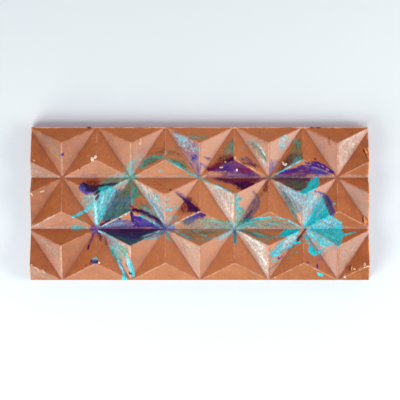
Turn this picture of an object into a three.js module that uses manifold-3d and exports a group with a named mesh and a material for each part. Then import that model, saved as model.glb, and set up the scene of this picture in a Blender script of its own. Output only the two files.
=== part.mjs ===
// A moulded milk chocolate tablet whose top is a lattice of three-sided pyramids.
// Millimetres, +Z up. The origin is the middle of the flat back, which the bar lies on.
// +X runs along the bar and +Y across it.

import * as THREE from "three";
import { ConvexGeometry } from "three/addons/geometries/ConvexGeometry.js";
import { mergeVertices } from "three/addons/utils/BufferGeometryUtils.js";
import Module from "manifold-3d";

// Size of the tablet
const LENGTH = 154; // along X at the back, its widest level
const WIDTH = 70; // along Y at the back
const VALLEY_HEIGHT = 5.5; // thickness where the pyramids meet
const PYRAMID_RISE = 5; // from a valley to a peak
const DRAFT = THREE.MathUtils.degToRad(3.5); // side walls lean in, so that the mould lets go
const CORNER_RADIUS = 0.8; // upright corners, at the back

// Lattice of pyramids
const ROWS = 3;
const COLUMNS = 5;
const ROW_DEPTH = WIDTH / ROWS; // a row runs from valley to valley
const PITCH = 31.3; // a little over a fifth of the length, so the ends cut their pyramids short
const VALLEY_SHARE = 0.02; // share of a pyramid's foot that its valley takes
const CORNER_SHARE = 0.03; // share of each foot edge that the blunt ridge takes at its end
const TIP_SHARE = 0.025; // a worn peak's size, as a share of the foot

// Working allowances
const CORNER_STEPS = 3; // facets round an upright corner
const SKIRT = 1; // how far a pyramid reaches down into the slab
const OVERSIZE = 10; // how far the slab stands out before the outline cuts it

const PEAK_HEIGHT = VALLEY_HEIGHT + PYRAMID_RISE;

const wasm = await Module();
wasm.setup();

// A closed geometry as a solid, with its shared vertices merged.
function solidFrom(geometry) {
  const bare = geometry.clone();
  bare.deleteAttribute("normal");
  bare.deleteAttribute("uv");
  const merged = mergeVertices(bare, 1e-4);
  return new wasm.Manifold(
    new wasm.Mesh({
      numProp: 3,
      vertProperties: merged.attributes.position.array,
      triVerts: new Uint32Array(merged.index.array),
    }),
  );
}

// A solid as a geometry with flat facets.
function geometryFrom(solid) {
  const { vertProperties, triVerts } = solid.getMesh();
  const geometry = new THREE.BufferGeometry();
  geometry.setAttribute("position", new THREE.BufferAttribute(vertProperties, 3));
  geometry.setIndex(new THREE.BufferAttribute(triVerts, 1));
  const faceted = geometry.toNonIndexed();
  faceted.computeVertexNormals();
  return faceted;
}

// The corners of one lattice triangle. Its neighbours to the left and right point the other way.
function triangleFoot(row, place) {
  const middle = ((place - COLUMNS) * PITCH) / 2;
  const back = (ROWS / 2 - row) * ROW_DEPTH;
  const front = back - ROW_DEPTH;
  const pointsBack = (row + place) % 2 === 0;
  const tipY = pointsBack ? back : front;
  const baseY = pointsBack ? front : back;
  return [
    new THREE.Vector2(middle, tipY),
    new THREE.Vector2(middle - PITCH / 2, baseY),
    new THREE.Vector2(middle + PITCH / 2, baseY),
  ];
}

// A triangle shrunk towards its centroid, so that share of its size is left.
function shrunk(triangle, centroid, share) {
  return triangle.map((corner) => centroid.clone().lerp(corner, share));
}

// Two points for each corner of a triangle, a little way along the edges that meet there.
function bluntCorners(triangle) {
  return triangle.flatMap((corner, i) => [
    corner.clone().lerp(triangle[(i + 1) % 3], CORNER_SHARE),
    corner.clone().lerp(triangle[(i + 2) % 3], CORNER_SHARE),
  ]);
}

// One pyramid with blunt ridges and a worn peak, standing on a skirt that reaches into the slab.
function pyramid(row, place) {
  const corners = triangleFoot(row, place);
  const centroid = new THREE.Vector2();
  corners.forEach((corner) => centroid.addScaledVector(corner, 1 / 3));
  const foot = bluntCorners(shrunk(corners, centroid, 1 - VALLEY_SHARE));
  const tip = shrunk(corners, centroid, TIP_SHARE);
  const at = (points, height) => points.map((p) => new THREE.Vector3(p.x, p.y, height));
  return new ConvexGeometry([
    ...at(foot, VALLEY_HEIGHT - SKIRT),
    ...at(foot, VALLEY_HEIGHT),
    ...at(tip, PEAK_HEIGHT),
  ]);
}

// The slab that carries the pyramids, before its outline is cut.
function slab() {
  const geometry = new THREE.BoxGeometry(LENGTH + OVERSIZE, WIDTH + OVERSIZE, VALLEY_HEIGHT);
  return geometry.translate(0, 0, VALLEY_HEIGHT / 2);
}

// The rounded rectangle of the side walls at one height.
function outlineAt(height) {
  const lean = height * Math.tan(DRAFT);
  const radius = CORNER_RADIUS;
  const points = [];
  for (const [sideX, sideY] of [[1, 1], [-1, 1], [-1, -1], [1, -1]]) {
    for (let step = 0; step <= CORNER_STEPS; step++) {
      const angle = (step / CORNER_STEPS) * (Math.PI / 2);
      points.push(
        new THREE.Vector3(
          sideX * (LENGTH / 2 - lean - radius + radius * Math.cos(angle)),
          sideY * (WIDTH / 2 - lean - radius + radius * Math.sin(angle)),
          height,
        ),
      );
    }
  }
  return points;
}

// The space inside the mould's side walls, from the back to just over the peaks.
function mouldCavity() {
  return new ConvexGeometry([...outlineAt(0), ...outlineAt(PEAK_HEIGHT + SKIRT)]);
}

function chocolateBar() {
  let relief = solidFrom(slab());
  for (let row = 0; row < ROWS; row++) {
    for (let place = 0; place <= 2 * COLUMNS; place++) {
      relief = relief.add(solidFrom(pyramid(row, place)));
    }
  }
  const milkChocolate = new THREE.MeshStandardMaterial({
    color: 0xa8663f,
    roughness: 0.45,
    metalness: 0,
  });
  const bar = relief.intersect(solidFrom(mouldCavity()));
  const mesh = new THREE.Mesh(geometryFrom(bar), milkChocolate);
  mesh.name = "chocolate_bar";
  return mesh;
}

const tablet = new THREE.Group();
tablet.add(chocolateBar());

export default tablet;
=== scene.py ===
# %% [markdown]
# # A moulded milk chocolate tablet
# This lesson dresses one packed bar of milk chocolate.
# The real bar is poured into a polycarbonate mould that was first smeared with coloured cocoa butter.
# It comes out with a lattice of three-sided pyramids on top, glossy where the mould was polished.
# The measured solid arrives as a fixed frame, and everything here is worked out from its box.

# %% Load the frame
import math
import bpy
import numpy as np
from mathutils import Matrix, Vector


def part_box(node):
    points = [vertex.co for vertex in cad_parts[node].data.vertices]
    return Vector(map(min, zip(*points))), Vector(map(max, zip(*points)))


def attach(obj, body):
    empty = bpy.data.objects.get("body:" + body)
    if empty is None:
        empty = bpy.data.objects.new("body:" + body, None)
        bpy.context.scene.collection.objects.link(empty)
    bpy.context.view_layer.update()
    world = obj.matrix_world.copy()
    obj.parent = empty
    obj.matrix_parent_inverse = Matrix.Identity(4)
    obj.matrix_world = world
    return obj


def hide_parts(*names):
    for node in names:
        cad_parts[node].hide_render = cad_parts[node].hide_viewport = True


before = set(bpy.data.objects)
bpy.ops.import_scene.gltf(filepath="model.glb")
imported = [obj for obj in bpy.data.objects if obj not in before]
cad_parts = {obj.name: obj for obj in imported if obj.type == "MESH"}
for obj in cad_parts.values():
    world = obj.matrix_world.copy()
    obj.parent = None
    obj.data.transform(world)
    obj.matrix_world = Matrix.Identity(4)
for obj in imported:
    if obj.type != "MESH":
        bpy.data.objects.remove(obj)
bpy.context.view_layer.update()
low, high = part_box("chocolate_bar")
print("the bar measures", [round(side * 1000, 2) for side in high - low], "mm")

# %% [markdown]
# ## Camera
# The bar was photographed from almost straight above, a little from its front edge.
# A long lens from more than half a metre keeps the edges parallel.
# The peaks still lean outwards a touch.
# The lens is worked out from how large a millimetre appears, so the bar fills the frame as it should.

# %% Camera
MM = 0.001
IMAGE_WIDTH = 400  # pixels across the picture
PIXELS_PER_MM = 2.194  # how large a millimetre of the bar appears
SENSOR_WIDTH = 36  # mm, Blender's usual sensor
CAMERA_DISTANCE = 600 * MM
CAMERA_TILT = math.radians(2.5)  # from straight above towards the front
NEAREST_SEEN = 10 * MM
AIM = Vector((0.1, 1.5, 5.5)) * MM  # the point of the bar at the middle of the picture

camera_data = bpy.data.cameras.new("camera")
camera_data.sensor_width = SENSOR_WIDTH
camera_data.lens = PIXELS_PER_MM * CAMERA_DISTANCE / MM * SENSOR_WIDTH / IMAGE_WIDTH
camera_data.clip_start = NEAREST_SEEN
camera = bpy.data.objects.new("camera", camera_data)
bpy.context.scene.collection.objects.link(camera)
camera.location = AIM + CAMERA_DISTANCE * Vector((0, -math.sin(CAMERA_TILT), math.cos(CAMERA_TILT)))
camera.rotation_euler = (CAMERA_TILT, 0, 0)
bpy.context.scene.camera = camera
print("lens", round(camera_data.lens, 1), "mm")

# %% [markdown]
# ## The lattice
# The top is a sheet of equal triangles in three strips, each raised to a peak over its middle.
# It could be a heap of separate cones, but then the valleys would never meet cleanly.
# So a plane is cut along the lattice lines, as with a knife and a ruler.
# Then every triangle is poked up at once.

# %% Selection helpers
def edit_mode():
    bpy.ops.object.mode_set(mode="EDIT")


def object_mode():
    bpy.ops.object.mode_set(mode="OBJECT")


def deselect_everything():
    for each in bpy.context.selected_objects:
        each.select_set(False)


def places_of(piece):
    """The piece's vertices as columns x, y and z, in metres."""
    places = np.empty(len(piece.data.vertices) * 3, np.float32)
    piece.data.vertices.foreach_get("co", places)
    return places.reshape(-1, 3).T


def select_vertices(piece, wanted):
    """Selects the vertices for which wanted(x, y, z) is true, and goes to edit mode."""
    object_mode()
    chosen = np.broadcast_to(wanted(*places_of(piece)), len(piece.data.vertices))
    piece.data.polygons.foreach_set("select", np.zeros(len(piece.data.polygons), bool))
    piece.data.edges.foreach_set("select", np.zeros(len(piece.data.edges), bool))
    piece.data.vertices.foreach_set("select", np.ascontiguousarray(chosen))
    edit_mode()
    bpy.ops.mesh.select_mode(type="VERT")


# %% Cut the lattice lines
LENGTH = high.x - low.x
WIDTH = high.y - low.y
PEAK_HEIGHT = high.z
PYRAMID_RISE = 5 * MM
VALLEY_HEIGHT = PEAK_HEIGHT - PYRAMID_RISE
ROWS = 3
PITCH = 31.3 * MM  # from star to star along a row
ROW_DEPTH = WIDTH / ROWS
SHEET_PITCHES = 6  # the sheet is wider than the bar, so that the end triangles start whole
SPARE = 0.01 * MM  # keeps cuts off exact vertices

deselect_everything()
bpy.ops.mesh.primitive_plane_add(size=1, location=(0, 0, VALLEY_HEIGHT))
bar = bpy.context.object
bar.name = "chocolate_relief"
bar.data.name = bar.name
bar.scale = (SHEET_PITCHES * PITCH, WIDTH, 1)
bpy.ops.object.transform_apply(location=True, rotation=False, scale=True)


def cut(point, normal, **clearing):
    """Cuts the whole mesh with a plane."""
    bpy.ops.mesh.select_all(action="SELECT")
    bpy.ops.mesh.bisect(plane_co=point, plane_no=normal, threshold=SPARE, **clearing)


edit_mode()
for row in range(1, ROWS):
    cut((0, (ROWS / 2 - row) * ROW_DEPTH, 0), (0, 1, 0))
for step in range(-SHEET_PITCHES - 1, SHEET_PITCHES + 1):
    star = ((step + 0.5) * PITCH, WIDTH / 2, 0)
    cut(star, (ROW_DEPTH, PITCH / 2, 0))
    cut(star, (ROW_DEPTH, -PITCH / 2, 0))
object_mode()
print("lattice triangles", len(bar.data.polygons))

# %% Raise the peaks
edit_mode()
bpy.ops.mesh.select_all(action="SELECT")
bpy.ops.mesh.poke(offset=PYRAMID_RISE, center_mode="MEDIAN")
for step in range(-2 * SHEET_PITCHES, 2 * SHEET_PITCHES + 1):
    cut((step * PITCH / 2, 0, 0), (1, 0, 0))
object_mode()
print("facets", len(bar.data.polygons))

# %% [markdown]
# ## Fine facets and the mould's walls
# The smears will be painted on the vertices, so the facets need many of them.
# Subdividing before the outline is cut keeps each facet's triangles alike.
# The cut then runs straight through them.
# The mould's walls lean in a little, or the bar would never come out.

# %% Subdivide and trim
FACET_CUTS = 35  # leaves triangles of about half a millimetre
DRAFT = math.radians(1)
RIM_RINGS = (0.2 * MM, 0.45 * MM)  # extra lines beside the rim, for its rounding

edit_mode()
bpy.ops.mesh.select_all(action="SELECT")
bpy.ops.mesh.subdivide(number_cuts=FACET_CUTS)
for inset in (0,) + RIM_RINGS:
    for side in (-1, 1):
        end_wall = (side * (LENGTH / 2 - inset), 0, 0)
        long_wall = (0, side * (WIDTH / 2 - inset), 0)
        cut(end_wall, (side * math.cos(DRAFT), 0, math.sin(DRAFT)), clear_outer=inset == 0)
        cut(long_wall, (0, side * math.cos(DRAFT), math.sin(DRAFT)), clear_outer=inset == 0)
object_mode()
print("faces on top", len(bar.data.polygons))

# %% Pull the walls down
WALL_RINGS = 2  # extra lines below the rim, for its rounding
RING_DROP = 0.3 * MM
FOOT = 0.5 * MM  # vertices lower than this belong to the back's edge
WALL_BAND = 1 * MM  # a wall's foot lies within this of the bar's side


def select_rim():
    """Selects the open edge of the sheet."""
    edit_mode()
    bpy.ops.mesh.select_all(action="DESELECT")
    bpy.ops.mesh.select_mode(type="EDGE")
    bpy.ops.mesh.select_non_manifold(
        extend=False,
        use_wire=False,
        use_boundary=True,
        use_multi_face=False,
        use_non_contiguous=False,
        use_verts=False,
    )


select_rim()
for ring in range(WALL_RINGS):
    bpy.ops.mesh.extrude_edges_move(TRANSFORM_OT_translate={"value": (0, 0, -RING_DROP)})
bpy.ops.mesh.extrude_edges_move(TRANSFORM_OT_translate={"value": (0, 0, 0)})
bpy.ops.transform.resize(value=(1, 1, 0), center_override=(0, 0, 0))
for side in (-1, 1):
    select_vertices(bar, lambda x, y, z: (z < FOOT) & (side * x > LENGTH / 2 - WALL_BAND))
    bpy.ops.transform.resize(value=(0, 1, 1), center_override=(side * LENGTH / 2, 0, 0))
    select_vertices(bar, lambda x, y, z: (z < FOOT) & (side * y > WIDTH / 2 - WALL_BAND))
    bpy.ops.transform.resize(value=(1, 0, 1), center_override=(0, side * WIDTH / 2, 0))
select_vertices(bar, lambda x, y, z: z < FOOT)
bpy.ops.mesh.remove_doubles(threshold=SPARE)  # the corners of the foot
select_rim()
bpy.ops.mesh.extrude_edges_move(TRANSFORM_OT_translate={"value": (0, 0, 0)})
bpy.ops.mesh.merge(type="CENTER")  # a fan, because one big face would leave slivers along its sides
object_mode()
print("faces with walls and back", len(bar.data.polygons))

# %% [markdown]
# ## Soft ridges
# A polished mould still has tiny radii, and chocolate shrinks a little as it sets.
# Smoothing the fine vertices rounds ridges, valleys and rim together, and leaves the flat facets flat.
# The stars, where six valleys meet, fill a little more.

# %% Round the ridges
STAR_FILL = 1.1 * MM  # radius of a star's soft core
SMOOTHING = 0.5  # how far each pass moves a vertex towards its neighbours' middle
RIDGE_PASSES = 2
STAR_PASSES = 4
SHARP_ANGLE = math.radians(50)  # edges that turn further than this stay crisp


def near_star(x, y):
    """True within a star's soft core. The stars of every other lattice line are half a pitch along."""
    line = np.round((WIDTH / 2 - y) / ROW_DEPTH)
    offset = np.where(line % 2 == 0, PITCH / 2, 0)
    across = (x - offset) - np.round((x - offset) / PITCH) * PITCH
    along = (WIDTH / 2 - y) - line * ROW_DEPTH
    return across**2 + along**2 < STAR_FILL**2


select_vertices(bar, lambda x, y, z: z > FOOT)
bpy.ops.mesh.vertices_smooth(factor=SMOOTHING, repeat=RIDGE_PASSES)
select_vertices(bar, lambda x, y, z: (z > FOOT) & near_star(x, y))
bpy.ops.mesh.vertices_smooth(factor=SMOOTHING, repeat=STAR_PASSES)
bpy.ops.mesh.select_all(action="SELECT")
bpy.ops.mesh.normals_make_consistent(inside=False)
object_mode()
bpy.ops.object.shade_smooth_by_angle(angle=SHARP_ANGLE)
print("triangles", sum(len(face.vertices) - 2 for face in bar.data.polygons))

# %% [markdown]
# ## Coloured cocoa butter
# The colours were smeared into the empty mould with a fingertip and a rag, before the chocolate went in.
# So they lie flush in the surface, streaky, thin in places, and often cut off sharply at a ridge.
# A picture of the smears could be wrapped on, but painting on the vertices keeps everything in one mesh.
# Each smear is a line or an outline in millimetres on the bar, laid over what is there as real paint is.

# %% Colours
def colour(code):
    """A linear colour with alpha from an sRGB hex code."""
    channels = [int(code[start : start + 2], 16) / 255 for start in (0, 2, 4)]
    linear = [c / 12.92 if c <= 0.04045 else ((c + 0.055) / 1.055) ** 2.4 for c in channels]
    return (*linear, 1)


PAINTS = {
    "turquoise": "08b2bf",
    "cyan": "2cb6c0",
    "aqua": "5aa2aa",
    "ice": "9dc2c9",
    "teal": "3d8d8c",
    "sage": "6f8a76",
    "green": "3f6d58",
    "slate": "34626f",
    "night": "242a48",
    "charcoal": "514843",
    "olive": "62603f",
    "violet": "34186c",
    "indigo": "221c7e",
    "grape": "2c003c",
    "wine": "5a2a58",
    "maroon": "641822",
    "plum": "5e0a40",
    "lavender": "584c88",
    "iris": "4b4c78",
    "steel": "4b687f",
    "mauve": "8a6474",
    "silver": "8f9a9c",
    "haze": "c2aca2",
    "cream": "e0d4c8",
    "bloom": "8f7a6c",
    "caramel": "e29e6c",
}
PAINTS = {name: np.array(colour(code)[:3]) for name, code in PAINTS.items()}
print("paints on the palette", len(PAINTS))

# %% Where the vertices are on the lattice
x_mm, y_mm, z_mm = places_of(bar).astype(float) / MM
HALF_PITCH = PITCH / MM / 2
DEPTH = ROW_DEPTH / MM
BACK_LINE = WIDTH / MM / 2  # y of the valley behind row 0
MIDDLE_PLACE = 5  # pyramids are counted from 0 at the left end
FACES_UP = 0.3  # upward share of a normal from which a vertex counts as on top, not on a wall
normals = np.empty(len(x_mm) * 3, np.float32)
bar.data.vertex_normals.foreach_get("vector", normals)
on_top = normals.reshape(-1, 3)[:, 2] > FACES_UP
SIDES = ("base", "left", "right")

row_of = np.clip(np.floor((BACK_LINE - y_mm) / DEPTH), 0, ROWS - 1)
down_row = (BACK_LINE - y_mm) / DEPTH - row_of  # 0 at a row's back line, 1 at its front line
column = x_mm / HALF_PITCH + MIDDLE_PLACE


def points_back(place):
    return (row_of + place) % 2 == 0


def lies_in(place):
    """True where a vertex lies in the lattice triangle of that place in its row."""
    half_width = np.where(points_back(place), down_row, 1 - down_row)
    return np.abs(column - place) <= half_width


place_of = np.where(lies_in(np.floor(column)), np.floor(column), np.floor(column) + 1)
from_base = np.where(points_back(place_of), 1 - down_row, down_row)
lean = column - place_of
plane_heights = [2 * from_base, 1 - from_base + lean, 1 - from_base - lean]
side_of = np.argmin(plane_heights, axis=0)  # a pyramid's lowest plane is its surface
print("vertices on top", int(on_top.sum()))

# %% Noise for the brushes
GRID = 97  # the noise repeats after this many units
COARSE_WIDTH = 2.4  # how many times wider the coarse streaks are than the fine ones
COARSE_RUN = 14  # how long a coarse streak is, in widths of a fine one
FINE_RUN = 7
STREAK_CONTRAST = 1.3
STREAK_GAP = 0.6  # leaves clear gaps between streaks


def blotches(u, v, seed):
    """Smooth noise from 0 to 1 with features about one unit across."""
    table = np.random.default_rng(seed).random((GRID, GRID))
    i = np.floor(u).astype(int)
    j = np.floor(v).astype(int)
    a = u - i
    b = v - j
    a = a * a * (3 - 2 * a)
    b = b * b * (3 - 2 * b)
    near = table[i % GRID, j % GRID] * (1 - a) + table[(i + 1) % GRID, j % GRID] * a
    far = table[i % GRID, (j + 1) % GRID] * (1 - a) + table[(i + 1) % GRID, (j + 1) % GRID] * a
    return near * (1 - b) + far * b


def fibres(across, along, fibre, seed):
    """Streaks from 0 to 1 that run along the second direction, fine over coarse."""
    coarse = blotches(across / (COARSE_WIDTH * fibre), along / (COARSE_RUN * fibre), seed)
    fine = blotches(across / fibre, along / (FINE_RUN * fibre), seed + 1)
    return np.clip(STREAK_CONTRAST * (coarse + fine) - STREAK_GAP, 0, 1)


print("a fine streak is", FINE_RUN, "times as long as it is wide")


# %% Laying paint
pigment = np.zeros((len(x_mm), 3))
cover = np.zeros(len(x_mm))
smears = []
HAIR_SHADE = 0.65  # how much lighter the ridges of a brushmark are than its grooves
TINY = 1e-6  # keeps a division from meeting nothing


def near(points, reach):
    """The numbers of the vertices within reach of the box around some points."""
    xs, ys = np.array(points).T
    inside = (x_mm > xs.min() - reach) & (x_mm < xs.max() + reach)
    return np.flatnonzero(on_top & inside & (y_mm > ys.min() - reach) & (y_mm < ys.max() + reach))


def lay(paint, here, amount, facets, hairs=0.5):
    """Lays paint over what is there. A facet is its row from the back, its place and its side."""
    tint = PAINTS.get(paint, 0) * (1 + HAIR_SHADE * (np.broadcast_to(hairs, len(here)) - 0.5))[:, None]
    if facets:
        allowed = np.zeros(len(here), bool)
        for row, place, side in facets:
            same = (row_of[here] == row) & (place_of[here] == place)
            allowed |= same & (side_of[here] == SIDES.index(side))
        amount = np.where(allowed, amount, 0)
    amount = np.clip(amount, 0, 1)
    if paint == "bare":
        cover[here] *= 1 - amount
    else:
        total = amount + cover[here] * (1 - amount)
        share = (amount / np.maximum(total, TINY))[:, None]
        pigment[here] = tint * share + pigment[here] * (1 - share)
        cover[here] = total
    smears.append(paint)


def tell():
    """Prints how many smears are laid so far, and how much of the top they cover."""
    share = np.mean(cover[on_top] > 0.5)
    print(len(smears), "smears cover", round(100 * float(share), 1), "% of the top")


tell()


# %% Brushes for lines
REACH = 3  # mm that a smear's soft edge may reach out
EDGE = 0.9  # mm across one notch of a ragged edge
FAR = 1e9  # mm, further than anything


def distance_to(path, x, y):
    """How far each point is from a line of points, how far along it, and how far to its side."""
    nearest = np.full(len(x), FAR)
    along = np.zeros(len(x))
    across = np.zeros(len(x))
    walked = 0
    for (x0, y0), (x1, y1) in zip(path, path[1:]):
        length = math.hypot(x1 - x0, y1 - y0)
        dx, dy = (x1 - x0) / length, (y1 - y0) / length
        step = np.clip((x - x0) * dx + (y - y0) * dy, 0, length)
        gap = np.hypot(x - x0 - step * dx, y - y0 - step * dy)
        closer = gap < nearest
        nearest = np.where(closer, gap, nearest)
        along = np.where(closer, walked + step, along)
        across = np.where(closer, (y - y0) * dx - (x - x0) * dy, across)
        walked += length
    return nearest, along, across


def stroke(paint, path, width, strength, feather=0.4, streaks=0.3, ragged=0.3, fibre=0.35, on=()):
    """A smear along a path. width is one number, or one at each point of the path."""
    here = near(path, REACH + np.max(width))
    x, y = x_mm[here], y_mm[here]
    seed = 10 * len(smears)
    nearest, along, across = distance_to(path, x, y)
    corners = np.cumsum([0] + [math.dist(a, b) for a, b in zip(path, path[1:])])
    half = np.interp(along, corners, np.broadcast_to(width, len(path))) / 2
    notch = ragged * (2 * blotches(x / EDGE, y / EDGE, seed) - 1)
    amount = np.clip((half - nearest + notch) / feather + 0.5, 0, 1)
    hairs = fibres(across, along, fibre, seed + 2)
    lay(paint, here, strength * amount * (1 - streaks + streaks * hairs), on, hairs)


def dot(paint, middle, size, strength, feather=0.4):
    """A round spot, which is a stroke that hardly moves."""
    x, y = middle
    path = [(x - size / 8, y), (x + size / 8, y)]
    stroke(paint, path, 0.8 * size, strength, feather, streaks=0.1, ragged=0.12)


print("the smears' softest edges reach", REACH, "mm out")

# %% Brushes for outlines
NOTCH_DEPTH = 1.6  # how much deeper an outline's notches are than a line's
SPECK_EDGE = 5  # how crisp the edge of a speck is


def outline_depth(outline, x, y):
    """How deep each point lies inside an outline, or how far outside as a minus number."""
    nearest = distance_to(outline + outline[:1], x, y)[0]
    inside = np.zeros(len(x), bool)
    for (x0, y0), (x1, y1) in zip(outline, outline[1:] + outline[:1]):
        if y0 != y1:
            crossing = x0 + (y - y0) * (x1 - x0) / (y1 - y0)
            inside ^= ((y0 > y) != (y1 > y)) & (x < crossing)
    return np.where(inside, nearest, -nearest)


def patch(paint, outline, strength, feather=0.6, streaks=0.35, ragged=0.4, run=60, fibre=0.35, on=()):
    """A smear that fills an outline. run is the angle of its fibres, in degrees from the bar's length."""
    here = near(outline, REACH)
    x, y = x_mm[here], y_mm[here]
    seed = 10 * len(smears)
    along = x * math.cos(math.radians(run)) + y * math.sin(math.radians(run))
    across = y * math.cos(math.radians(run)) - x * math.sin(math.radians(run))
    hairs = fibres(across, along, fibre, seed + 2)
    notch = ragged * (blotches(x / EDGE, y / EDGE, seed) + fibres(across, along, fibre, seed + 4) - 1)
    depth = outline_depth(outline, x, y) + NOTCH_DEPTH * notch
    amount = np.clip(depth / feather + 0.5, 0, 1)
    shades = 0.5 + (0.4 + 0.6 * streaks) * (fibres(across, along, fibre, seed + 6) - 0.5)
    lay(paint, here, strength * amount * (1 - streaks + streaks * hairs), on, shades)


def speckle(paint, outline, strength, size=0.7, share=0.4, feather=2, on=()):
    """Specks inside an outline, thinning out towards its edge. share is how much of it they cover."""
    here = near(outline, REACH)
    x, y = x_mm[here], y_mm[here]
    noise = blotches(x / size, y / size, 10 * len(smears))
    fade = np.clip(outline_depth(outline, x, y) / feather + 0.5, 0, 1)
    specks = np.clip(SPECK_EDGE * (noise - 1 + share * fade), 0, 1)
    lay(paint, here, strength * fade * specks, on)


square = [(-1, -1), (1, -1), (1, 1), (-1, 1)]
print("the middle of a 2 mm square lies", outline_depth(square, np.zeros(1), np.zeros(1))[0], "mm deep")

# %% [markdown]
# ## Bloom, feet and rim
# Before any colour, the lit facets carry a thin greyish bloom with streaks from wiping, which is in part a
# painted sheen of the lights on them.
# Pale streaks run along the feet of the facets, the back and right rim get a painted highlight, and the
# front and left rim a painted shade.
# These are laid first, so that the smears can cover them.

# %% Bloom, with painted sheen on the lit facets
# Bloom on the lit front facets at the left end, partly a painted sheen.
patch("bloom", [(-77, 20), (-70, 16.6), (-64, 12.4), (-70, 12), (-77, 12)], 0.42, feather=2, streaks=0.5,
      run=-20, on=[(0, 0, "base")])
patch("bloom", [(-77, -27.6), (-70, -31), (-65, -34.4), (-77, -34.4)], 0.4, feather=2, streaks=0.5, run=-20,
      on=[(2, 0, "base")])
# The lit left-front facets are whitish from the key light: their bloom is partly a painted sheen.
BLOOM_AND_SHEEN_LEFT = [(0, 1, "left"), (2, 1, "left")]
for drop in (0, 2 * DEPTH):
    outline = [(-76, 34 - drop), (-64, 27 - drop), (-63.4, 18 - drop), (-70, 26 - drop)]
    patch("bloom", outline, 0.38, feather=2, streaks=0.5, run=-50, on=BLOOM_AND_SHEEN_LEFT)
speckle("steel", [(-74, 33), (-66, 31), (-66, 26), (-71, 27)], 0.25, size=1.3, share=0.5, on=BLOOM_AND_SHEEN_LEFT)
speckle("charcoal", [(-75, -13), (-63, -19), (-64, -31), (-71, -20)], 0.25, size=0.5, share=0.35,
        on=BLOOM_AND_SHEEN_LEFT)
speckle("haze", [(-75, -13), (-63, -19), (-64, -31), (-71, -20)], 0.2, size=0.6, share=0.35, on=BLOOM_AND_SHEEN_LEFT)
# The lit right-front facets at the right end: bloom and haze here are partly a painted sheen of the side
# light.
BLOOM_AND_SHEEN_RIGHT = [(0, 9, "right"), (2, 9, "right")]
for drop, strength, streaks in ((0, 0.2, 0.8), (2 * DEPTH, 0.14, 0.5)):
    outline = [(63.4, 26 - drop), (75, 33.6 - drop), (71, 25 - drop), (64, 16 - drop)]
    patch("bloom", outline, 0.2, feather=2, streaks=0.4, run=55, on=BLOOM_AND_SHEEN_RIGHT)
    patch("haze", outline, strength, feather=1.6, streaks=streaks, run=55, on=BLOOM_AND_SHEEN_RIGHT)
# Bloom on a lit facet at the right end, partly a painted sheen.
patch("bloom", [(63, 5), (76, 8), (76, -9), (66, -6)], 0.25, feather=2.4, streaks=0.7, run=-60,
      on=[(1, 10, "left")])
stroke("haze", [(-76.4, -10.2), (-71, -8.6), (-66, -6.2)], (1.6, 1.1, 0.7), 0.3, feather=1, streaks=0.6)
tell()

# %% Feet, and painted highlight and shade on the rim
for row, y, places in ((0, DEPTH / 2, (0, 2, 4, 6, 8, 10)), (1, -DEPTH / 2, (1, 3, 5, 7, 9))):
    feet = [(row, place, "base") for place in places]
    stroke("bloom", [(-77, y + 0.8), (77, y + 0.8)], 1.3, 0.35, feather=0.9, streaks=0.6, ragged=0.5,
           on=feet)
    stroke("haze", [(-77, y + 0.6), (77, y + 0.6)], 0.6, 0.14, feather=0.6, streaks=0.8, ragged=0.4, on=feet)
# Painted highlight along the back and right rim, where the narrow flat rim catches the light.
BACK_RIM = [(-76.8, 34.8), (76.8, 34.8)]
RIGHT_RIM = [(76.8, 34.8), (76.8, -34.8)]
stroke("caramel", BACK_RIM, 0.9, 0.8, feather=0.3, streaks=0.25, ragged=0.15)
stroke("caramel", RIGHT_RIM, 0.8, 0.45, feather=0.3, streaks=0.5)
# Painted shade along the front and left rim, which gets less light than the lit facets beside it.
FRONT_RIM = [(-76.8, -34.9), (76.8, -34.9)]
LEFT_RIM = [(-76.9, 34.8), (-76.9, -34.8)]
for path in (FRONT_RIM, LEFT_RIM):
    stroke("bloom", path, 0.5, 0.4, feather=0.3, streaks=0.6)
tell()

# %% [markdown]
# ## The smear at the left
# Bright turquoise was wiped down over one point of the lattice, after a violet dab above it.
# The rag then dragged a grey mix of both over the next pyramid.

# %% Smears at the left, middle row
patch("sage", [(-45, 8.3), (-39, 7.2), (-33, 10.2), (-31.3, 11.7), (-33, 13), (-40, 11.8), (-44, 10.8)],
      0.75, run=15)
patch("silver", [(-42, 11.8), (-33, 11.9), (-33, 14), (-38, 13.4)], 0.45, feather=1, run=20)
stroke("sage", [(-32.4, 11.8), (-30.2, 11.8)], 4.2, 0.7, feather=1.6, ragged=0.8)
stroke("teal", [(-32, 11.3), (-30.6, 12)], 2, 0.55, feather=1)
patch("maroon", [(-51.5, 7.3), (-46, 7), (-45.2, 9.5), (-47, 11), (-52, 10.8)], 0.6, feather=1.8,
      ragged=0.12, run=10)
stroke("wine", [(-53.5, 12.7), (-47.5, 12.6)], 1.2, 0.3, feather=0.8)
tell()

# %% The violet dab
patch("indigo", [(-54.5, 7.5), (-53.8, 9.5), (-52.5, 10), (-51.5, 8.5), (-50, 7.5), (-47, 7.3), (-44, 7.8),
                 (-46, 6.3), (-47.5, 5), (-49, 4.6), (-51, 4.2), (-53, 5), (-54.5, 6.2)], 1, streaks=0.3,
      run=170)
patch("grape", [(-53, 9.6), (-51, 8.6), (-50, 7.6), (-46, 7.8), (-43.5, 7.8), (-45.5, 6.2), (-47.5, 5.3),
                (-52, 5.4)], 1, run=170)
patch("night", [(-51, 8), (-46, 7.6), (-45, 6.8), (-48, 5.8), (-51, 6)], 0.6, run=170)
stroke("violet", [(-53.9, 8.8), (-53.9, 6.6), (-52.6, 5.2)], 0.9, 0.7, streaks=0.5)
stroke("lavender", [(-54.4, 7.4), (-54.2, 6), (-52.8, 4.9), (-50, 4.4), (-47.8, 5)], 0.6, 0.8, streaks=0.5)
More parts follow.
